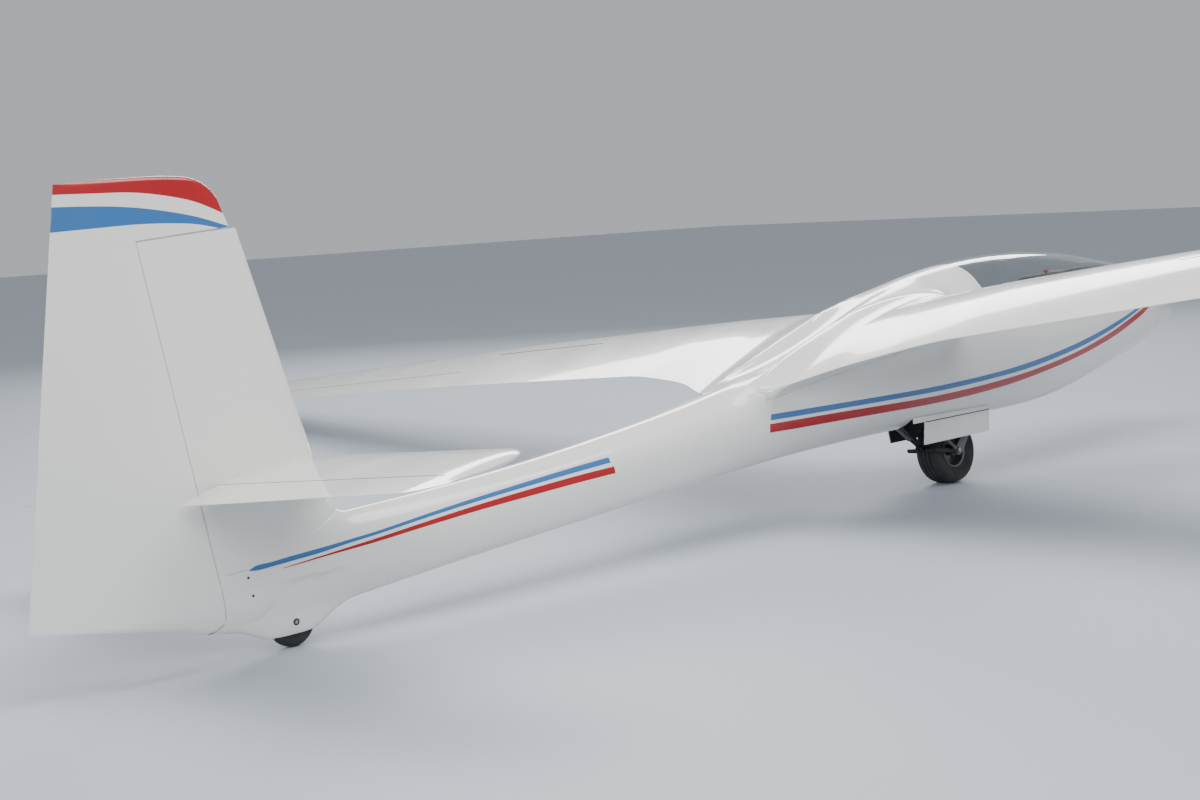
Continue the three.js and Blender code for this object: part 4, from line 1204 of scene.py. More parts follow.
# Painted stripes: how far they stand over and reach under the skin; along each edge, x and height
STRIPE_OVER = 0.00045
STRIPE_UNDER = 0.00080
STRIPES = {
    "blue_rear": (
        ((-3.882, .3000), (-3.860, .3105), (-3.816, .3142), (-3.749, .3189), (-3.684, .3238),
         (-3.616, .3284), (-3.542, .3330), (-3.466, .3388), (-3.392, .3452),
         (-3.237, .3632), (-3.076, .3822), (-2.910, .3994), (-2.737, .4160), (-2.559, .4326),
         (-2.377, .4482), (-2.267, .4560)),
        ((-3.882, .2990), (-3.850, .2955), (-3.816, .2969), (-3.750, .3017), (-3.685, .3065),
         (-3.618, .3112), (-3.545, .3186), (-3.469, .3265), (-3.395, .3334),
         (-3.241, .3506), (-3.082, .3680), (-2.917, .3838), (-2.746, .3982), (-2.570, .4122),
         (-2.389, .4256), (-2.267, .4340))),
    "red_rear": (
        ((-3.755, .2866), (-3.690, .2932), (-3.622, .2999), (-3.548, .3066), (-3.398, .3208),
         (-3.245, .3378), (-3.086, .3550), (-2.921, .3712), (-2.751, .3856), (-2.575, .3990),
         (-2.395, .4105), (-2.256, .4170)),
        ((-3.755, .2846), (-3.690, .2890), (-3.623, .2943), (-3.549, .2990), (-3.401, .3082),
         (-3.249, .3222), (-3.091, .3364), (-2.928, .3496), (-2.759, .3608), (-2.584, .3716),
         (-2.403, .3822), (-2.256, .3892))),
    "blue_front": (
        ((-1.373, .5124), (-1.196, .5106), (-.916, .5081), (-.724, .5067), (-.525, .5059),
         (-.317, .5070), (-.099, .5124), (.131, .5219), (.374, .5393), (.635, .5685), (.921, .6100),
         (1.079, .6376), (1.249, .6700), (1.436, .7090), (1.650, .7590), (1.860, .8130)),
        ((-1.373, .4862), (-1.197, .4840), (-.915, .4824), (-.721, .4814), (-.521, .4810),
         (-.311, .4817), (-.092, .4867), (.138, .4966), (.381, .5114), (.638, .5403), (.923, .5822),
         (1.079, .6108), (1.247, .6454), (1.432, .6894), (1.650, .7450), (1.860, .8115))),
    "red_front": (
        ((-1.380, .4708), (-1.197, .4696), (-.913, .4670), (-.717, .4638), (-.515, .4614),
         (-.304, .4610), (-.084, .4662), (.146, .4768), (.386, .4942), (.642, .5235), (.925, .5668),
         (1.080, .5968), (1.247, .6330), (1.431, .6786), (1.650, .7360), (1.850, .7960)),
        ((-1.380, .4330), (-1.194, .4302), (-.904, .4284), (-.705, .4268), (-.500, .4252),
         (-.285, .4250), (-.063, .4302), (.165, .4414), (.400, .4626), (.652, .4943), (.932, .5374),
         (1.086, .5661), (1.252, .6005), (1.429, .6452), (1.650, .7100), (1.850, .7945))),
}


def on_side(x, z, side):
    """A point of the fuselage's or fin's skin, found from the side, and its outward direction."""
    spot, normal, _, _ = SKIN_TREE.ray_cast(Vector((x, side * 0.6, z)), Vector((0, -side, 0)))
    normal = normal if normal.y * side > 0 else -normal
    return np.array(spot), np.array(normal)


def make_stripes():
    """Thin bands that follow the skin, on both sides."""
    for name, (over, under) in STRIPES.items():
        over = np.array(over)
        under = np.array(under)
        x = np.append(np.arange(over[0, 0], over[-1, 0], 0.012), over[-1, 0])
        high = spline(over[:, 0], over[:, 1], x)
        low = spline(under[:, 0], under[:, 1], x)
        for side, which in SIDES:
            rings = []
            for k in range(len(x)):
                skin = [on_side(x[k], z, side) for z in np.linspace(low[k], high[k], 8)]
                outer = [spot + normal * STRIPE_OVER for spot, normal in skin]
                inner = [spot - normal * STRIPE_UNDER for spot, normal in skin]
                rings.append(outer + inner[::-1])
            paint = BLUE if "blue" in name else RED
            stripe = as_object(f"stripe_{name}_{which}", outward(loft(rings)), paint)
            smooth_like(stripe, fuselage_skin, fin_skin)
            finish_piece(stripe, "airframe", HULL)


# Landing gear: places as x and z, and the doors' rear ends at the top and at the lower edge
FORK = {"leg_y": 0.080, "leg_half": 0.0048, "top": (0.176, 0.405), "knee": (0.172, 0.300),
        "rear": (-0.147, 0.188), "tube": 0.014, "brace": 0.0065}
STRUT = {"radius": 0.010, "y": 0.0953, "foot": (-0.004, 0.174), "head": (-0.3931, 0.512)}
DAMPER_HEAD = (-0.3938, 0.384)
AXLE = {"main": 0.0114, "main_half": 0.090, "tail": 0.0046, "tail_half": 0.038}
DOOR = {"front": 0.198, "low": 0.232, "top": 0.400, "y": 0.169, "thick": 0.005, "hang_z": 0.338,
        "lean": -0.131, "seal": (0.3382, 0.3428)}
DOOR_REAR = {"left": (-0.200, -0.155), "right": (-0.310, -0.320)}


def bolt_head(spot, direction, size, thick):
    """A six-sided head that stands on a surface."""
    return turned([(0.0, 0.0), (size, 0.0), (size, thick * 0.7), (size * 0.86, thick), (0.0, thick)],
                  spot, direction, 6)


def side_plate(corners, side, middle, half, radius):
    """A flat plate seen from the side, with rounded corners, on one side of the airframe."""
    return prism(rounded(corners, radius), *sorted((side * (middle - half), side * (middle + half))))


def cross_rod(x, z, low, high, radius, sides):
    """A round bar that runs across the airframe."""
    return rod((x, low, z), (x, high, z), radius, sides)


def make_gear_side(side, name):
    """One leg of the fork with its rear arm and bolts, and the strut beside it."""
    x = MAIN_WHEEL["x"]
    z = MAIN_WHEEL["radius"]
    knee_x, knee_z = FORK["knee"]
    top_x, top_z = FORK["top"]
    rear_x, rear_z = FORK["rear"]
    leg = [(x - 0.022, z - 0.020), (x + 0.004, z - 0.028), (x + 0.030, z - 0.012),
           (knee_x + 0.013, knee_z - 0.010), (top_x + 0.013, top_z + 0.012),
           (top_x - 0.013, top_z + 0.012), (knee_x - 0.013, knee_z + 0.006), (x - 0.014, z + 0.026)]
    metal(f"gear_leg_{name}", side_plate(leg, side, FORK["leg_y"], FORK["leg_half"], 0.018), SILVER,
          "gear_fork", bevel=0.0014)
    arm = [(x - 0.004, z + 0.013), (x - 0.004, z - 0.011), (rear_x - 0.012, rear_z - 0.010),
           (rear_x - 0.012, rear_z + 0.010)]
    metal(f"gear_arm_{name}", side_plate(arm, side, FORK["leg_y"], FORK["leg_half"] - 0.0012, 0.008),
          DARK_METAL, "gear_fork", bevel=0.001)
    start, end = (np.array([at[0], side * STRUT["y"], at[1]]) for at in (STRUT["foot"], STRUT["head"]))
    line = unit(end - start)
    strut = merged(rod(start + line * 0.018, end, STRUT["radius"] * 0.86, 20),
                   rod(start, start + line * 0.030, STRUT["radius"], 20),
                   rod(start + line * 0.075, start + line * 0.095, STRUT["radius"] * 1.12, 20))
    metal(f"gear_strut_{name}", strut, SILVER, f"gear_strut_{name}")
    face = FORK["leg_y"] + 0.0046
    heads = [bolt_head((at_x, side * at_y, at_z), (0, side, 0), size, thick)
             for at_x, at_y, at_z, size, thick in ((x, AXLE["main_half"] - 0.0072, z, 0.0165, 0.0065),
                                                   (rear_x, face, rear_z, 0.0075, 0.0045),
                                                   (top_x, face, top_z, 0.009, 0.005))]
    metal(f"gear_bolts_{name}", merged(*heads), DARK_METAL, "gear_fork")


def make_gear():
    """Both sides of the gear, the tubes and the axle between them, and the damper behind the wheel."""
    for side, name in SIDES:
        make_gear_side(side, name)
    bridge_half = BAY["half"] - 0.0003
    tubes = merged(cross_rod(*FORK["top"], -bridge_half, bridge_half, FORK["tube"], 24),
                   cross_rod(*FORK["rear"], -FORK["leg_y"], FORK["leg_y"], FORK["brace"], 18))
    metal("gear_tubes", tubes, SHADE_AND_DARK_PARTS, "gear_fork")
    wheel = (MAIN_WHEEL["x"], MAIN_WHEEL["radius"])
    axle = merged(cross_rod(*wheel, -AXLE["main_half"], AXLE["main_half"], AXLE["main"], 28),
                  *(cross_rod(*wheel, low, low + 0.0165, 0.0190, 24) for low in (-0.0735, 0.0570)))
    metal("main_axle", axle, STEEL, "main_axle")
    foot, head = (np.array([at[0], 0.0, at[1]]) for at in (FORK["rear"], DAMPER_HEAD))
    line = unit(head - foot)
    square = np.array([line[2], 0.0, -line[0]])
    damper = merged(rod(foot + line * 0.115, head - line * 0.004, 0.0115, 28),
                    rod(foot + line * 0.108, foot + line * 0.122, 0.0135, 28))
    metal("gear_damper_body", damper, SILVER, "gear_damper")
    metal("gear_damper_rod", rod(foot + line * 0.02, foot + line * 0.14, 0.0075, 20), DARK_METAL,
          "gear_damper")
    clevis = [foot + line * along + square * across for along, across in
              ((-0.012, -0.011), (0.034, -0.011), (0.034, 0.011), (-0.012, 0.011))]
    outline = rounded([(spot[0], spot[2]) for spot in clevis], 0.006)
    ears = [prism(outline, low, high) for low, high in ((-0.016, -0.009), (0.009, 0.016))]
    metal("gear_clevis", merged(*ears), DARK_METAL, "gear_damper", bevel=0.001)


def hung(outline, low, high):
    """A plate that hangs plumb while the airframe leans."""
    points, faces = prism(outline, low, high)
    points[:, 1] += DOOR["lean"] * (points[:, 2] - DOOR["hang_z"])
    return points, faces


def make_doors():
    """Belly doors that hang plumb from the edges of the bay; the left one is shorter.

    Each has a dark seal over it, and behind it a fixed lip along the rest of the bay's edge."""
    belly = outward(loft(fuselage_grid(np.arange(0.40, -0.60, -0.02), 128, -0.0038, keel=False)))
    top = DOOR["top"]
    seal_low, seal_high = DOOR["seal"]
    for side, name in SIDES:
        stands_for = (f"gear_door_{name}",)
        rear_top, rear_low = DOOR_REAR[name]
        outline = [(DOOR["front"], top), (DOOR["front"], DOOR["low"]), (rear_low, DOOR["low"]),
                   (rear_top, top)]
        low, high = sorted((side * DOOR["y"], side * (DOOR["y"] + DOOR["thick"])))
        door = as_object(f"gear_door_{name}", hung(rounded(outline, [0.0, 0.005, 0.005, 0.0]), low, high),
                         WHITE)
        carve(door, belly, WHITE)
        # The door's inward face gets the near-black material: painted shade, together with the dark paint of
        # its inner side.
        door.data.materials.append(SHADE_AND_DARK_PARTS)
        for face in door.data.polygons:
            if face.normal.dot(Vector(LEFT)) * side < -0.9:
                face.material_index = len(door.data.materials) - 1
        soften(door, 0.0010)
        shade(door, 40)
        finish_piece(door, "airframe", stands_for)
        rear = BAY["rear"] + 0.001
        edge = [(rear_top + 0.001, top), (rear_top + 0.001, seal_high), (rear, seal_high), (rear, top)]
        lip = as_object(f"bay_lip_{name}", hung(edge, low, high), WHITE)
        carve(lip, belly, WHITE)
        shade(lip, 40)
        finish_piece(lip, "airframe", stands_for)
        strip = [(DOOR["front"] - 0.001, seal_high), (DOOR["front"] - 0.001, seal_low),
                 (rear_top + 0.001, seal_low), (rear_top + 0.001, seal_high)]
        face_y = side * (DOOR["y"] + DOOR["thick"])
        seal = prism(strip, *sorted((face_y - side * 0.003, face_y + side * 0.0008)))
        piece(f"gear_door_seal_{name}", seal, RUBBER, stands_for=stands_for)
        hinge_y = side * (DOOR["y"] + DOOR["thick"] / 2 - 0.003)
        tabs = [rod((at - 0.022, hinge_y, 0.341), (at + 0.022, hinge_y, 0.341), 0.0028, 12)
                for at in (-0.10, 0.14)]
        metal(f"gear_door_hinges_{name}", merged(*tabs), DARK_METAL, f"gear_door_{name}")


def make_tail_details():
    """Ends of the tail wheel's axle, screws and the fairing's seam, on both sides."""
    washer = [(0.0, -0.004), (0.0125, -0.004), (0.0125, 0.0010), (0.0105, 0.0022), (0.0075, 0.0022),
              (0.0070, -0.001), (0.0, -0.001)]
    screw = [(0.0, -0.002), (0.0048, -0.002), (0.0048, 0.0003), (0.0036, 0.0011), (0.0016, 0.0011),
             (0.0013, 0.0003), (0.0, 0.0003)]
    for side, name in SIDES:
        spot, normal = on_side(TAIL_WHEEL["x"], TAIL_WHEEL["radius"], side)
        metal(f"tail_axle_washer_{name}", turned(washer, spot, normal, 28), SHADE_AND_DARK_PARTS, "tail_boom_and_fin",
              angle=30)
        head = bolt_head(spot - normal * 0.0012, normal, 0.0062, 0.0042)
        metal(f"tail_axle_bolt_{name}", head, STEEL, "tail_boom_and_fin")
        screws = [turned(screw, *on_side(x, z, side), 18) for x, z in ((-3.887, 0.277), (-3.878, 0.213))]
        metal(f"tail_screws_{name}", merged(*screws), DARK_METAL, "tail_boom_and_fin", angle=30)
        line = []
        for t in np.linspace(0, 1, 12):
            spot, normal = on_side(mix(-3.967, -3.889, t), mix(0.299, 0.305, t), side)
            line.append(spot + normal * 0.00015)
        piece(f"tail_seam_{name}", tube(line, 0.0006, 6), SHADE_AND_DARK_PARTS, stands_for=("tail_boom_and_fin",))


def make_small_fittings():
    """The tail wheel's axle, the tube that joins the elevators, and the tow hook."""
    axle = cross_rod(TAIL_WHEEL["x"], TAIL_WHEEL["radius"], -AXLE["tail_half"], AXLE["tail_half"],
                     AXLE["tail"], 20)
    metal("tail_axle", axle, STEEL, "tail_axle")
    hinge = (TAILPLANE["hinge_x"], plane_z(TAILPLANE["hinge_x"]))
    half = ELEVATOR["inner"] + 0.004
    parts = [cross_rod(*hinge, -half, half, TAILPLANE["tube"] - 0.0008, 24)]
    for side in (1, -1):
        parts.append(cross_rod(*hinge, side * (half - 0.012), side * half, TAILPLANE["tube"], 24))
    piece("elevator_tube", merged(*parts), STEEL, "elevator", ("elevator_tube",))
    x = HOOK_X
    belly = float(fuselage_rows(np.array([x]))["bottom"][0])
    corners = [(x - 0.034, belly + 0.004), (x - 0.034, belly - 0.012), (x - 0.016, belly - 0.026),
               (x + 0.020, belly - 0.026), (x + 0.034, belly - 0.014), (x + 0.034, belly + 0.004)]
    hook = as_object("tow_hook", prism(rounded(corners, 0.008), -0.011, 0.011), DARK_METAL)
    carve(hook, cross_rod(x + 0.004, belly - 0.016, -0.03, 0.03, 0.0065, 20), STEEL)
    shade(hook, 35)
    finish_piece(hook, "airframe", ("tow_hook",))


# Cockpit: the seat and its back in the side view, the hood, and the panel's face
SEAT = {"ramp_x": 0.756, "ramp_z": 0.420, "knee_x": 1.076, "knee_z": 0.468}
BACK_FOOT = np.array([0.4857, 0.461])
BACK_TOP = np.array([0.172, 0.958])
BACK_NORMAL = unit(np.array([BACK_TOP[1] - BACK_FOOT[1], BACK_FOOT[0] - BACK_TOP[0]]))
HOOD = {"rear_x": 1.040, "rear_z": 0.957, "front_x": 1.690, "front_z": 0.952, "half": 0.215,
        "thick": 0.012}
PANEL_TOP = np.array([1.1862, 0.0, 0.902])
PANEL_FOOT = np.array([1.2195, 0.0, 0.704])
# Dials: place across, share of the way down the panel's face, radius
DIALS = ((-0.078, 0.16, 0.028), (0.0, 0.16, 0.039), (0.078, 0.16, 0.028), (-0.062, 0.55, 0.039),
         (0.052, 0.55, 0.039), (-0.068, 0.88, 0.022), (0.0, 0.88, 0.022), (0.068, 0.88, 0.022))


def cabin_piece(name, form, material, part):
    """A piece that is trimmed to the cabin's inner wall."""
    thing = as_object(name, form, material)
    carve(thing, cabin_form(WALL + 0.0006, 2.13, 0.02), material, KEPT)
    shade(thing, 30)
    return finish_piece(thing, "airframe", (part,))


def pillow(low_line, high_line, half, thick, puff, count=(26, 22)):
    """A crowned closed pad that lies on a line in the side view; puff is how far its middle stands up."""
    low_line = np.asarray(low_line, float)
    high_line = np.asarray(high_line, float)
    along = np.linspace(0, 1, count[0])[:, None]
    across = np.linspace(-1, 1, count[1])[None, :]
    run = high_line - low_line
    normal = np.array([-run[1], run[0]]) / np.linalg.norm(run)
    normal = normal if normal[1] > 0 else -normal
    edge = np.clip((1 - np.abs(2 * along - 1) ** 6) * (1 - np.abs(across) ** 6), 0, 1) ** 0.35
    channels = 1 - 0.16 * np.exp(-(((along * 4) % 1 - 0.5) / 0.07) ** 2)
    top = thick * 0.35 * edge + thick * 0.65 * edge * channels + puff * edge * np.cos(across * 1.3)
    narrow = half * (1 - 0.05 * np.sin(np.pi * along))
    sheets = []
    for lift in (top, -0.10 * thick * edge):
        x = low_line[0] + run[0] * along + normal[0] * lift + 0 * across
        z = low_line[1] + run[1] * along + normal[1] * lift + 0 * across
        y = narrow * across + 0 * along
        sheets.append(np.stack([x, y, z], -1))
    rings = np.concatenate([sheets[0], sheets[1][:, ::-1][:, 1:-1]], axis=1)
    return outward(loft(rings))


def strap(path, normal=(0, 0, 1), width=0.044, thick=0.0024):
    """A flat strap along a path, square to the given direction at each point."""
    path = bent(path, 30)
    along = np.gradient(path, axis=0)
    along /= np.linalg.norm(along, axis=1)[:, None]
    side = np.cross(along, np.asarray(normal, float))
    side /= np.linalg.norm(side, axis=1)[:, None]
    up = np.cross(side, along)
    corners = ((1, 1), (-1, 1), (-1, -1), (1, -1))
    return outward(loft(np.stack([path + a * side * width / 2 + b * up * thick / 2 for a, b in corners], 1)))


def on_back(up, out):
    """A point of the seat back in the side view: share of its height, and distance in front of it."""
    return BACK_FOOT + (BACK_TOP - BACK_FOOT) * up + BACK_NORMAL * out


def pad(name, form, part):
    return piece(name, form, CLOTH, stands_for=(part,), angle=60)


def make_seat():
    """The pan, the back and their three cushions."""
    ramp = (SEAT["ramp_x"], SEAT["ramp_z"])
    knee = (SEAT["knee_x"], SEAT["knee_z"])
    pan = [(1.180, 0.470), (knee[0] + 0.004, knee[1] - 0.016), (ramp[0] + 0.004, ramp[1] - 0.016),
           (0.580, 0.402), (0.486, 0.440), (0.486, 0.456), (0.584, 0.418), ramp, knee, (1.176, 0.486)]
    cabin_piece("seat_pan", prism(pan, -0.32, 0.32), LINING, "seat_pan")
    shell = [BACK_FOOT + (0, -0.004), on_back(0, -0.014), on_back(1, -0.014), BACK_TOP]
    cabin_piece("seat_back", prism(shell, -0.205, 0.205), GREY, "seat_back")
    cushion = pad("back_cushion", pillow(on_back(0.06, 0.002), on_back(0.80, 0.002), 0.165, 0.022, 0.010),
                  "seat_back")
    rest = pad("headrest", pillow(on_back(0.845, 0.002), on_back(1.035, 0.002), 0.074, 0.036, 0.010,
                                  (18, 18)), "headrest")
    cushion = pad("seat_cushion", pillow((0.590, 0.4195), (ramp[0] - 0.02, ramp[1] + 0.003), 0.160,
                                         0.020, 0.008, (20, 22)), "seat_pan")


def make_harness():
    """Shoulder and lap straps, and their buckle."""
    straps = []
    for side in (1, -1):
        path = [(*on_back(0.83, 0.004), side * 0.060), (*on_back(0.78, 0.037), side * 0.066),
                (*on_back(0.45, 0.040), side * 0.075), (*on_back(0.16, 0.040), side * 0.050),
                (0.560, 0.466, side * 0.020)]
        straps.append(strap([(x, y, z) for x, z, y in path], (BACK_NORMAL[0], 0, BACK_NORMAL[1])))
        straps.append(strap([(0.520, side * 0.190, 0.450), (0.570, side * 0.150, 0.462),
                             (0.610, side * 0.075, 0.466), (0.625, side * 0.022, 0.466)]))
    piece("harness", merged(*straps), WEBBING, stands_for=("seat_back",), angle=50)
    buckle = merged(turned([(0.0, -0.006), (0.029, -0.006), (0.031, 0.0), (0.029, 0.007), (0.0, 0.009)],
                           (0.600, 0.0, 0.476), (0, 0, 1), 32),
                    rod((0.600, 0.0, 0.484), (0.600, 0.0, 0.491), 0.013, 20))
    metal("harness_buckle", buckle, STEEL, "seat_back", angle=30)


def hood_level(x):
    """Height of the hood's edges, and of its crown over them, along the cockpit."""
    t = (x - HOOD["rear_x"]) / (HOOD["front_x"] - HOOD["rear_x"])
    return mix(HOOD["rear_z"], HOOD["front_z"], t), 0.026 * np.sqrt(np.clip(t / 0.10, 0.0, 1)) + 0 * t


def inside_cabin(points, margin):
    """Draws points back within the cabin's wall, each towards the middle of its cross-section."""
    tree = tree_of(fuselage_raw)
    result = points.copy()
    for index in np.ndindex(points.shape[:-1]):
        start = np.array([points[index][0], 0.0, 0.80])
        ray = points[index] - start
        length = np.linalg.norm(ray)
        distance = tree.ray_cast(Vector(start), Vector(ray / length))[3]
        if distance is not None and length > distance - margin:
            result[index] = start + ray / length * (distance - margin)
    return result


def make_hood():
    """The hood over the panel: a thin arched shell that ends inside the cabin's wall."""
    x = HOOD["rear_x"] + (HOOD["front_x"] - HOOD["rear_x"]) * np.linspace(0, 1, 40) ** 1.6
    edge, crown = hood_level(x)
    angle = np.linspace(0, np.pi, 33)
    t = (x - x[0]) / (x[-1] - x[0])
    half = HOOD["half"] * np.clip(0.55 + 0.45 * np.sqrt(np.clip(t / 0.16, 0, 1)), 0, 1)
    sheets = []
    for depth in (0.0, 1.0):
        z = edge[:, None] + crown[:, None] * np.sin(angle)[None, :] ** 0.7 + HOOD["thick"] * (1 - depth)
        y = half[:, None] * np.cos(angle)[None, :]
        sheet = np.stack([np.repeat(x[:, None], len(angle), 1), y, z], -1)
        sheets.append(inside_cabin(sheet, 0.026 + 0.010 * depth))
    form = outward(loft(np.concatenate([sheets[0], sheets[1][:, ::-1]], axis=1)))
    hood = as_object("panel_hood", form, BLACK)
    soften(hood, 0.003, 50)
    shade(hood, 40)
    finish_piece(hood, "airframe", ("panel_hood",))


def make_panel():
    """The instrument panel, the post under it, its dials and the knob on the hood."""
    make_hood()
    desk = [(1.200, 0.9555), (1.186, 0.900), (1.220, 0.700), (1.262, 0.640), (1.330, 0.640), (1.340, 0.950)]
    piece("instrument_panel", prism(rounded(desk, [0.004, 0.02, 0.02, 0.02, 0.01, 0.004]), -0.125, 0.125),
          BLACK, stands_for=("instrument_panel",), bevel=0.003)
    post = prism([(1.290, 0.340), (1.290, 0.650), (1.330, 0.650), (1.330, 0.340)], -0.050, 0.050)
    cabin_piece("panel_post", post, GREY, "instrument_panel")
    make_dials()
    knob = turned([(0.0, 0.0), (0.006, 0.0), (0.006, 0.010), (0.011, 0.014), (0.012, 0.022), (0.008, 0.027),
                   (0.0, 0.028)], (1.060, -0.020, 0.978), (0.0, 0.0, 1.0), 24)
    piece("hood_knob", knob, KNOB_RED, stands_for=("panel_hood",), angle=30)


def make_dials():
    """Dials on the panel's face, each with a rim, a face, marks, a hand and four screws."""
    down = PANEL_FOOT - PANEL_TOP
    upward = unit(-down)
    normal = np.array([-upward[2], 0.0, upward[0]])
    normal = normal if normal[0] < 0 else -normal
    sideways = np.cross(upward, normal)

    def ray(degrees):
        return upward * math.cos(math.radians(degrees)) + sideways * math.sin(math.radians(degrees))

    rims = []
    faces = []
    marks = []
    screws = []
    for across, along, size in DIALS:
        centre = PANEL_TOP + down * along + (0.0, across, 0.0)
        rims.append(turned([(size * 0.88, 0.0), (size, 0.0), (size, 0.0042), (size * 0.95, 0.0052),
                            (size * 0.88, 0.0034)], centre, normal, 40))
        faces.append(turned([(0.0, 0.0004), (size * 0.885, 0.0004), (size * 0.885, 0.0022), (0.0, 0.0022)],
                            centre, normal, 40))
        for degrees in np.linspace(-135, 135, 12):
            at = centre + normal * 0.0023
            marks.append(rod(at + ray(degrees) * size * 0.66, at + ray(degrees) * size * 0.82, 0.0008, 5))
        at = centre + normal * 0.0027
        marks.append(rod(at, at + ray(-60 + 37 * len(rims)) * size * 0.72, 0.0011, 6, 0.0005))
        for degrees in (45, 135, 225, 315):
            at = centre + ray(degrees) * size * 1.17
            screws.append(rod(at, at + normal * 0.0014, 0.0022, 10))
    for name, forms, material in (("dial_rims", rims, DARK_METAL), ("dial_faces", faces, DIAL),
                                  ("dial_marks", marks, PRINT), ("panel_screws", screws, STEEL)):
        piece(name, merged(*forms), material, stands_for=("instrument_panel",), angle=30)


def make_stick():
    """The control stick: a gaiter with folds, the tube, the grip and its button."""
    gaiter = []
    for k in range(15):
        t = k / 14
        radius = mix(0.034, 0.0125, t) + (0.0030 if k % 2 else -0.0010) * (1 - t * 0.6)
        gaiter.append((radius, 0.052 * t))
    profile = [(0.0, 0.0)] + gaiter + [(0.0, 0.052)]
    boot = turned(profile, (0.898, 0.0, 0.4435), (-0.0445, 0.0, 0.176), 36)
    piece("stick_gaiter", boot, RUBBER, stands_for=("control_stick",), angle=50)
    grip_low = np.array([0.851, 0.0, 0.616])
    grip_high = np.array([0.826, 0.0, 0.716])
    stem = rod((0.890, 0.0, 0.470), grip_low + (0, 0, 0.01), 0.0088, 20)
    metal("stick_tube", stem, STEEL, "control_stick")
    line = unit(grip_high - grip_low)
    profile = [(0.0, 0.0), (0.0125, 0.0), (0.0150, 0.006), (0.0138, 0.022), (0.0152, 0.036), (0.0140, 0.052),
               (0.0155, 0.068), (0.0165, 0.086), (0.0150, 0.099), (0.0, 0.1025)]
    piece("stick_grip", turned(profile, grip_low, line, 36), BLACK, stands_for=("control_stick",),
          angle=50)
    piece("stick_button", rod(grip_high - line * 0.002, grip_high + line * 0.0035, 0.0055, 18), KNOB_RED,
          stands_for=("control_stick",))


def make_pedals():
    """Two ribbed pedals on a bar between the cabin's walls."""
    cabin_piece("pedal_bar", cross_rod(1.640, 0.590, -0.30, 0.30, 0.0088, 20), STEEL, "rudder_pedals")
    face = unit(np.array([0.94, 0.0, -0.34]))
    rise = unit(np.array([0.34, 0.0, 0.94]))
    corners = rounded([(-0.045, -0.064), (0.045, -0.064), (0.045, 0.064), (-0.045, 0.064)], 0.018)
    for side, name in SIDES:
        centre = np.array([1.655, side * 0.080, 0.650])
        pedal = outward(loft([[centre + (0.0, a, 0.0) + rise * b + face * depth for a, b in corners]
                              for depth in (-0.006, 0.006)]))
        ribs = []
        for at in (-0.045, -0.022, 0.0, 0.022, 0.045):
            middle = centre + rise * at - face * 0.0055
            ribs.append(rod(middle - (0, 0.036, 0), middle + (0, 0.036, 0), 0.003, 10))
        metal(f"pedal_{name}", merged(pedal, *ribs), DARK_METAL, "rudder_pedals", angle=35)


def make_levers():
    """Hand levers on the cabin's left wall."""
    for name, spot, reach, material in (("airbrake_lever", (0.98, 0.232, 0.735), 0.075, KNOB_BLUE),
                                        ("trim_lever", (1.12, 0.236, 0.700), 0.045, KNOB_GREEN),
                                        ("release_knob", (1.21, 0.196, 0.800), 0.030, KNOB_YELLOW)):
        spot = np.array(spot)
        wall = spot + (0.0, 0.045, -0.010)
        stem = tube(bent([wall, mix(wall, spot, 0.5) + (0, 0, 0.006), spot]), 0.0045, 12)
        metal(f"{name}_stem", stem, STEEL, "seat_pan")
        profile = [(0.0, -reach / 2), (0.009, -reach / 2), (0.0115, -reach * 0.35), (0.0100, 0.0),
                   (0.0115, reach * 0.35), (0.009, reach / 2), (0.0, reach / 2)]
        piece(name, turned(profile, spot, (1, 0, 0), 24), material, stands_for=("seat_pan",),
              angle=50)


def make_hinges():
    """Barrel hinges of the canopy beside the right sill: a knuckle on the sill between two on the frame."""
    y = CANOPY["hinge_y"]
    z = CANOPY["hinge_z"]
    for number, x in ((1, 0.250), (2, 0.800)):
        fixed = merged(rod((x - 0.0118, y, z), (x + 0.0118, y, z), 0.0060, 20),
                       rod((x - 0.0280, y, z), (x + 0.0280, y, z), 0.0028, 14),
                       box((x - 0.0110, y - 0.0028, z - 0.0200), (x + 0.0110, y + 0.0150, z)))
        metal(f"canopy_hinge_sill_{number}", fixed, STEEL, "fuselage_pod")
        knuckles = []
        for low, high in ((-0.0270, -0.0132), (0.0132, 0.0270)):
            knuckles.append(rod((x + low, y, z), (x + high, y, z), 0.0060, 20))
            knuckles.append(box((x + low, y - 0.0028, z), (x + high, y + 0.0035, z + 0.0230)))
            knuckles.append(box((x + low, y - 0.0028, z + 0.0125), (x + high, y + 0.0150, z + 0.0230)))
        piece(f"canopy_hinge_frame_{number}", merged(*knuckles), STEEL, "canopy", ("canopy_frame",))


# Floor, light and camera; each lamp has a name, a place, an aim, a width, a depth and a power
CAMERA = {"x": -5.2490, "y": -5.0400, "z": 1.4709, "yaw": 49.494, "pitch": -6.845, "roll": -3.256,
          "lens": 48.25}
LAMPS = (("over", (-1.0, -1.0, 7.0), (0, 0, 0), 9.0, 4.0, 620),
         ("side", (-6.0, -7.5, 4.5), (-1, 0, 0.5), 5.0, 3.0, 330),
         ("far", (6.2, 7.6, 5.3), (0.5, 0, 0.8), 12.0, 2.2, 620),
         ("rear", (-9.0, 3.5, 4.0), (-2, 0, 0.6), 5.0, 2.0, 160))


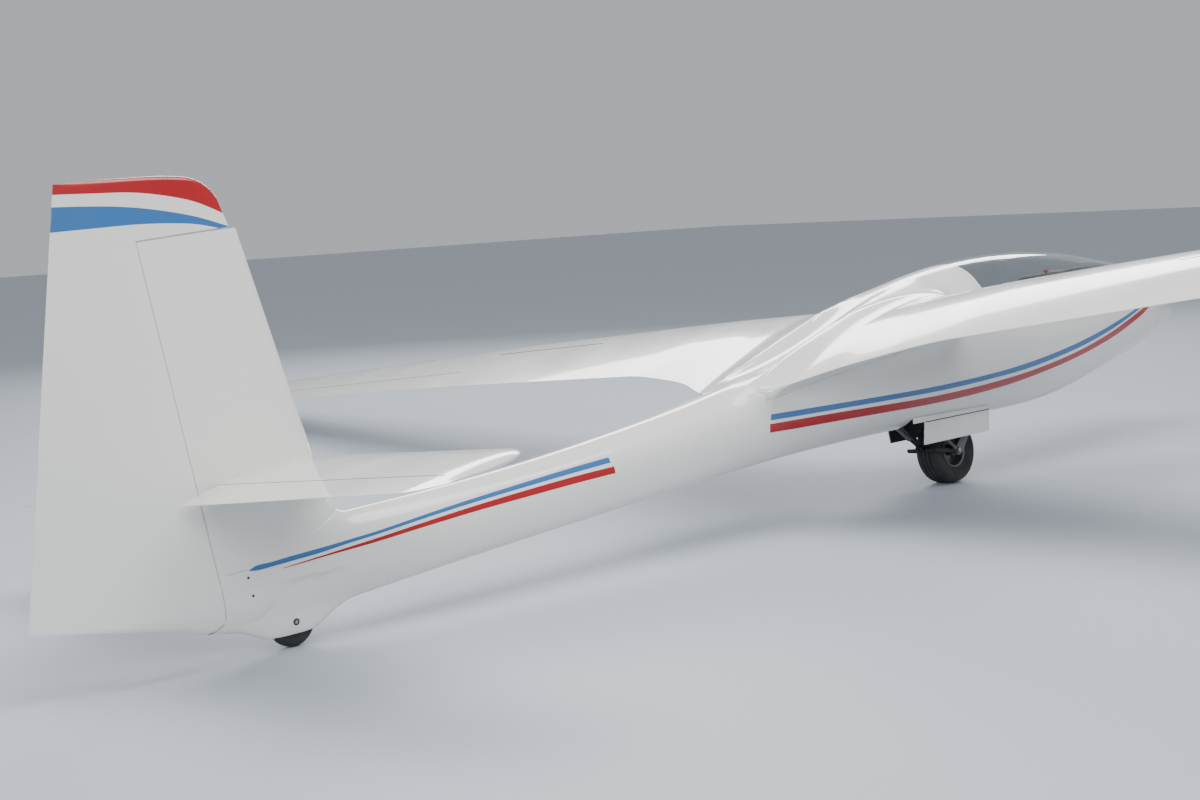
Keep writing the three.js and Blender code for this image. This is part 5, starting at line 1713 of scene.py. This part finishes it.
def make_floor():
    size = 60.0
    floor = bpy.data.meshes.new("floor")
    floor.from_pydata([(-size, -size, 0), (size, -size, 0), (size, size, 0), (-size, size, 0)], [],
                      [(0, 1, 2, 3)])
    floor.materials.append(new_material("floor_paint", (0.50, 0.54, 0.60), 0.60))
    ground = bpy.data.objects.new("floor", floor)
    bpy.context.scene.collection.objects.link(ground)


def make_light():
    world = bpy.data.worlds.new("studio")
    bpy.context.scene.world = world
    world.use_nodes = True
    background = world.node_tree.nodes["Background"]
    background.inputs["Color"].default_value = (0.66, 0.69, 0.73, 1)
    background.inputs["Strength"].default_value = 0.72
    for name, spot, aim, width, depth, power in LAMPS:
        light = bpy.data.lights.new(name, "AREA")
        light.shape = "RECTANGLE"
        light.size = width
        light.size_y = depth
        light.energy = power
        lamp = bpy.data.objects.new(name, light)
        lamp.location = spot
        lamp.rotation_euler = (Vector(aim) - Vector(spot)).to_track_quat("-Z", "Y").to_euler()
        bpy.context.scene.collection.objects.link(lamp)


def make_camera():
    yaw, pitch, roll = (math.radians(CAMERA[name]) for name in ("yaw", "pitch", "roll"))
    forward = np.array([math.cos(yaw) * math.cos(pitch), math.sin(yaw) * math.cos(pitch), math.sin(pitch)])
    right = np.array([math.sin(yaw), -math.cos(yaw), 0.0])
    up = np.cross(right, forward)
    right, up = (right * math.cos(roll) + up * math.sin(roll), up * math.cos(roll) - right * math.sin(roll))
    data = bpy.data.cameras.new("camera")
    data.lens = CAMERA["lens"]
    data.sensor_width = 36.0
    data.clip_end = 200
    camera = bpy.data.objects.new("camera", data)
    turn = Matrix([[right[k], up[k], -forward[k], 0] for k in range(3)] + [[0, 0, 0, 1]])
    camera.matrix_world = Matrix.Translation((CAMERA["x"], CAMERA["y"], CAMERA["z"])) @ turn
    bpy.context.scene.collection.objects.link(camera)
    bpy.context.scene.camera = camera


# The whole glider and its stage
make_fuselage()
make_stripes()
make_fin()
make_rudder()
for side, name in SIDES:
    make_wing(side, name)
    make_brake(side, name)
    make_tailplane(side, name)
make_canopy()
make_wheel(MAIN_WHEEL, "main_wheel", "main", 6)
make_wheel(TAIL_WHEEL, "tail_wheel", "tail", 0)
make_gear()
make_doors()
make_small_fittings()
make_tail_details()
make_seat()
make_harness()
make_panel()
make_stick()
make_pedals()
make_levers()
make_hinges()
make_floor()
make_light()
make_camera()
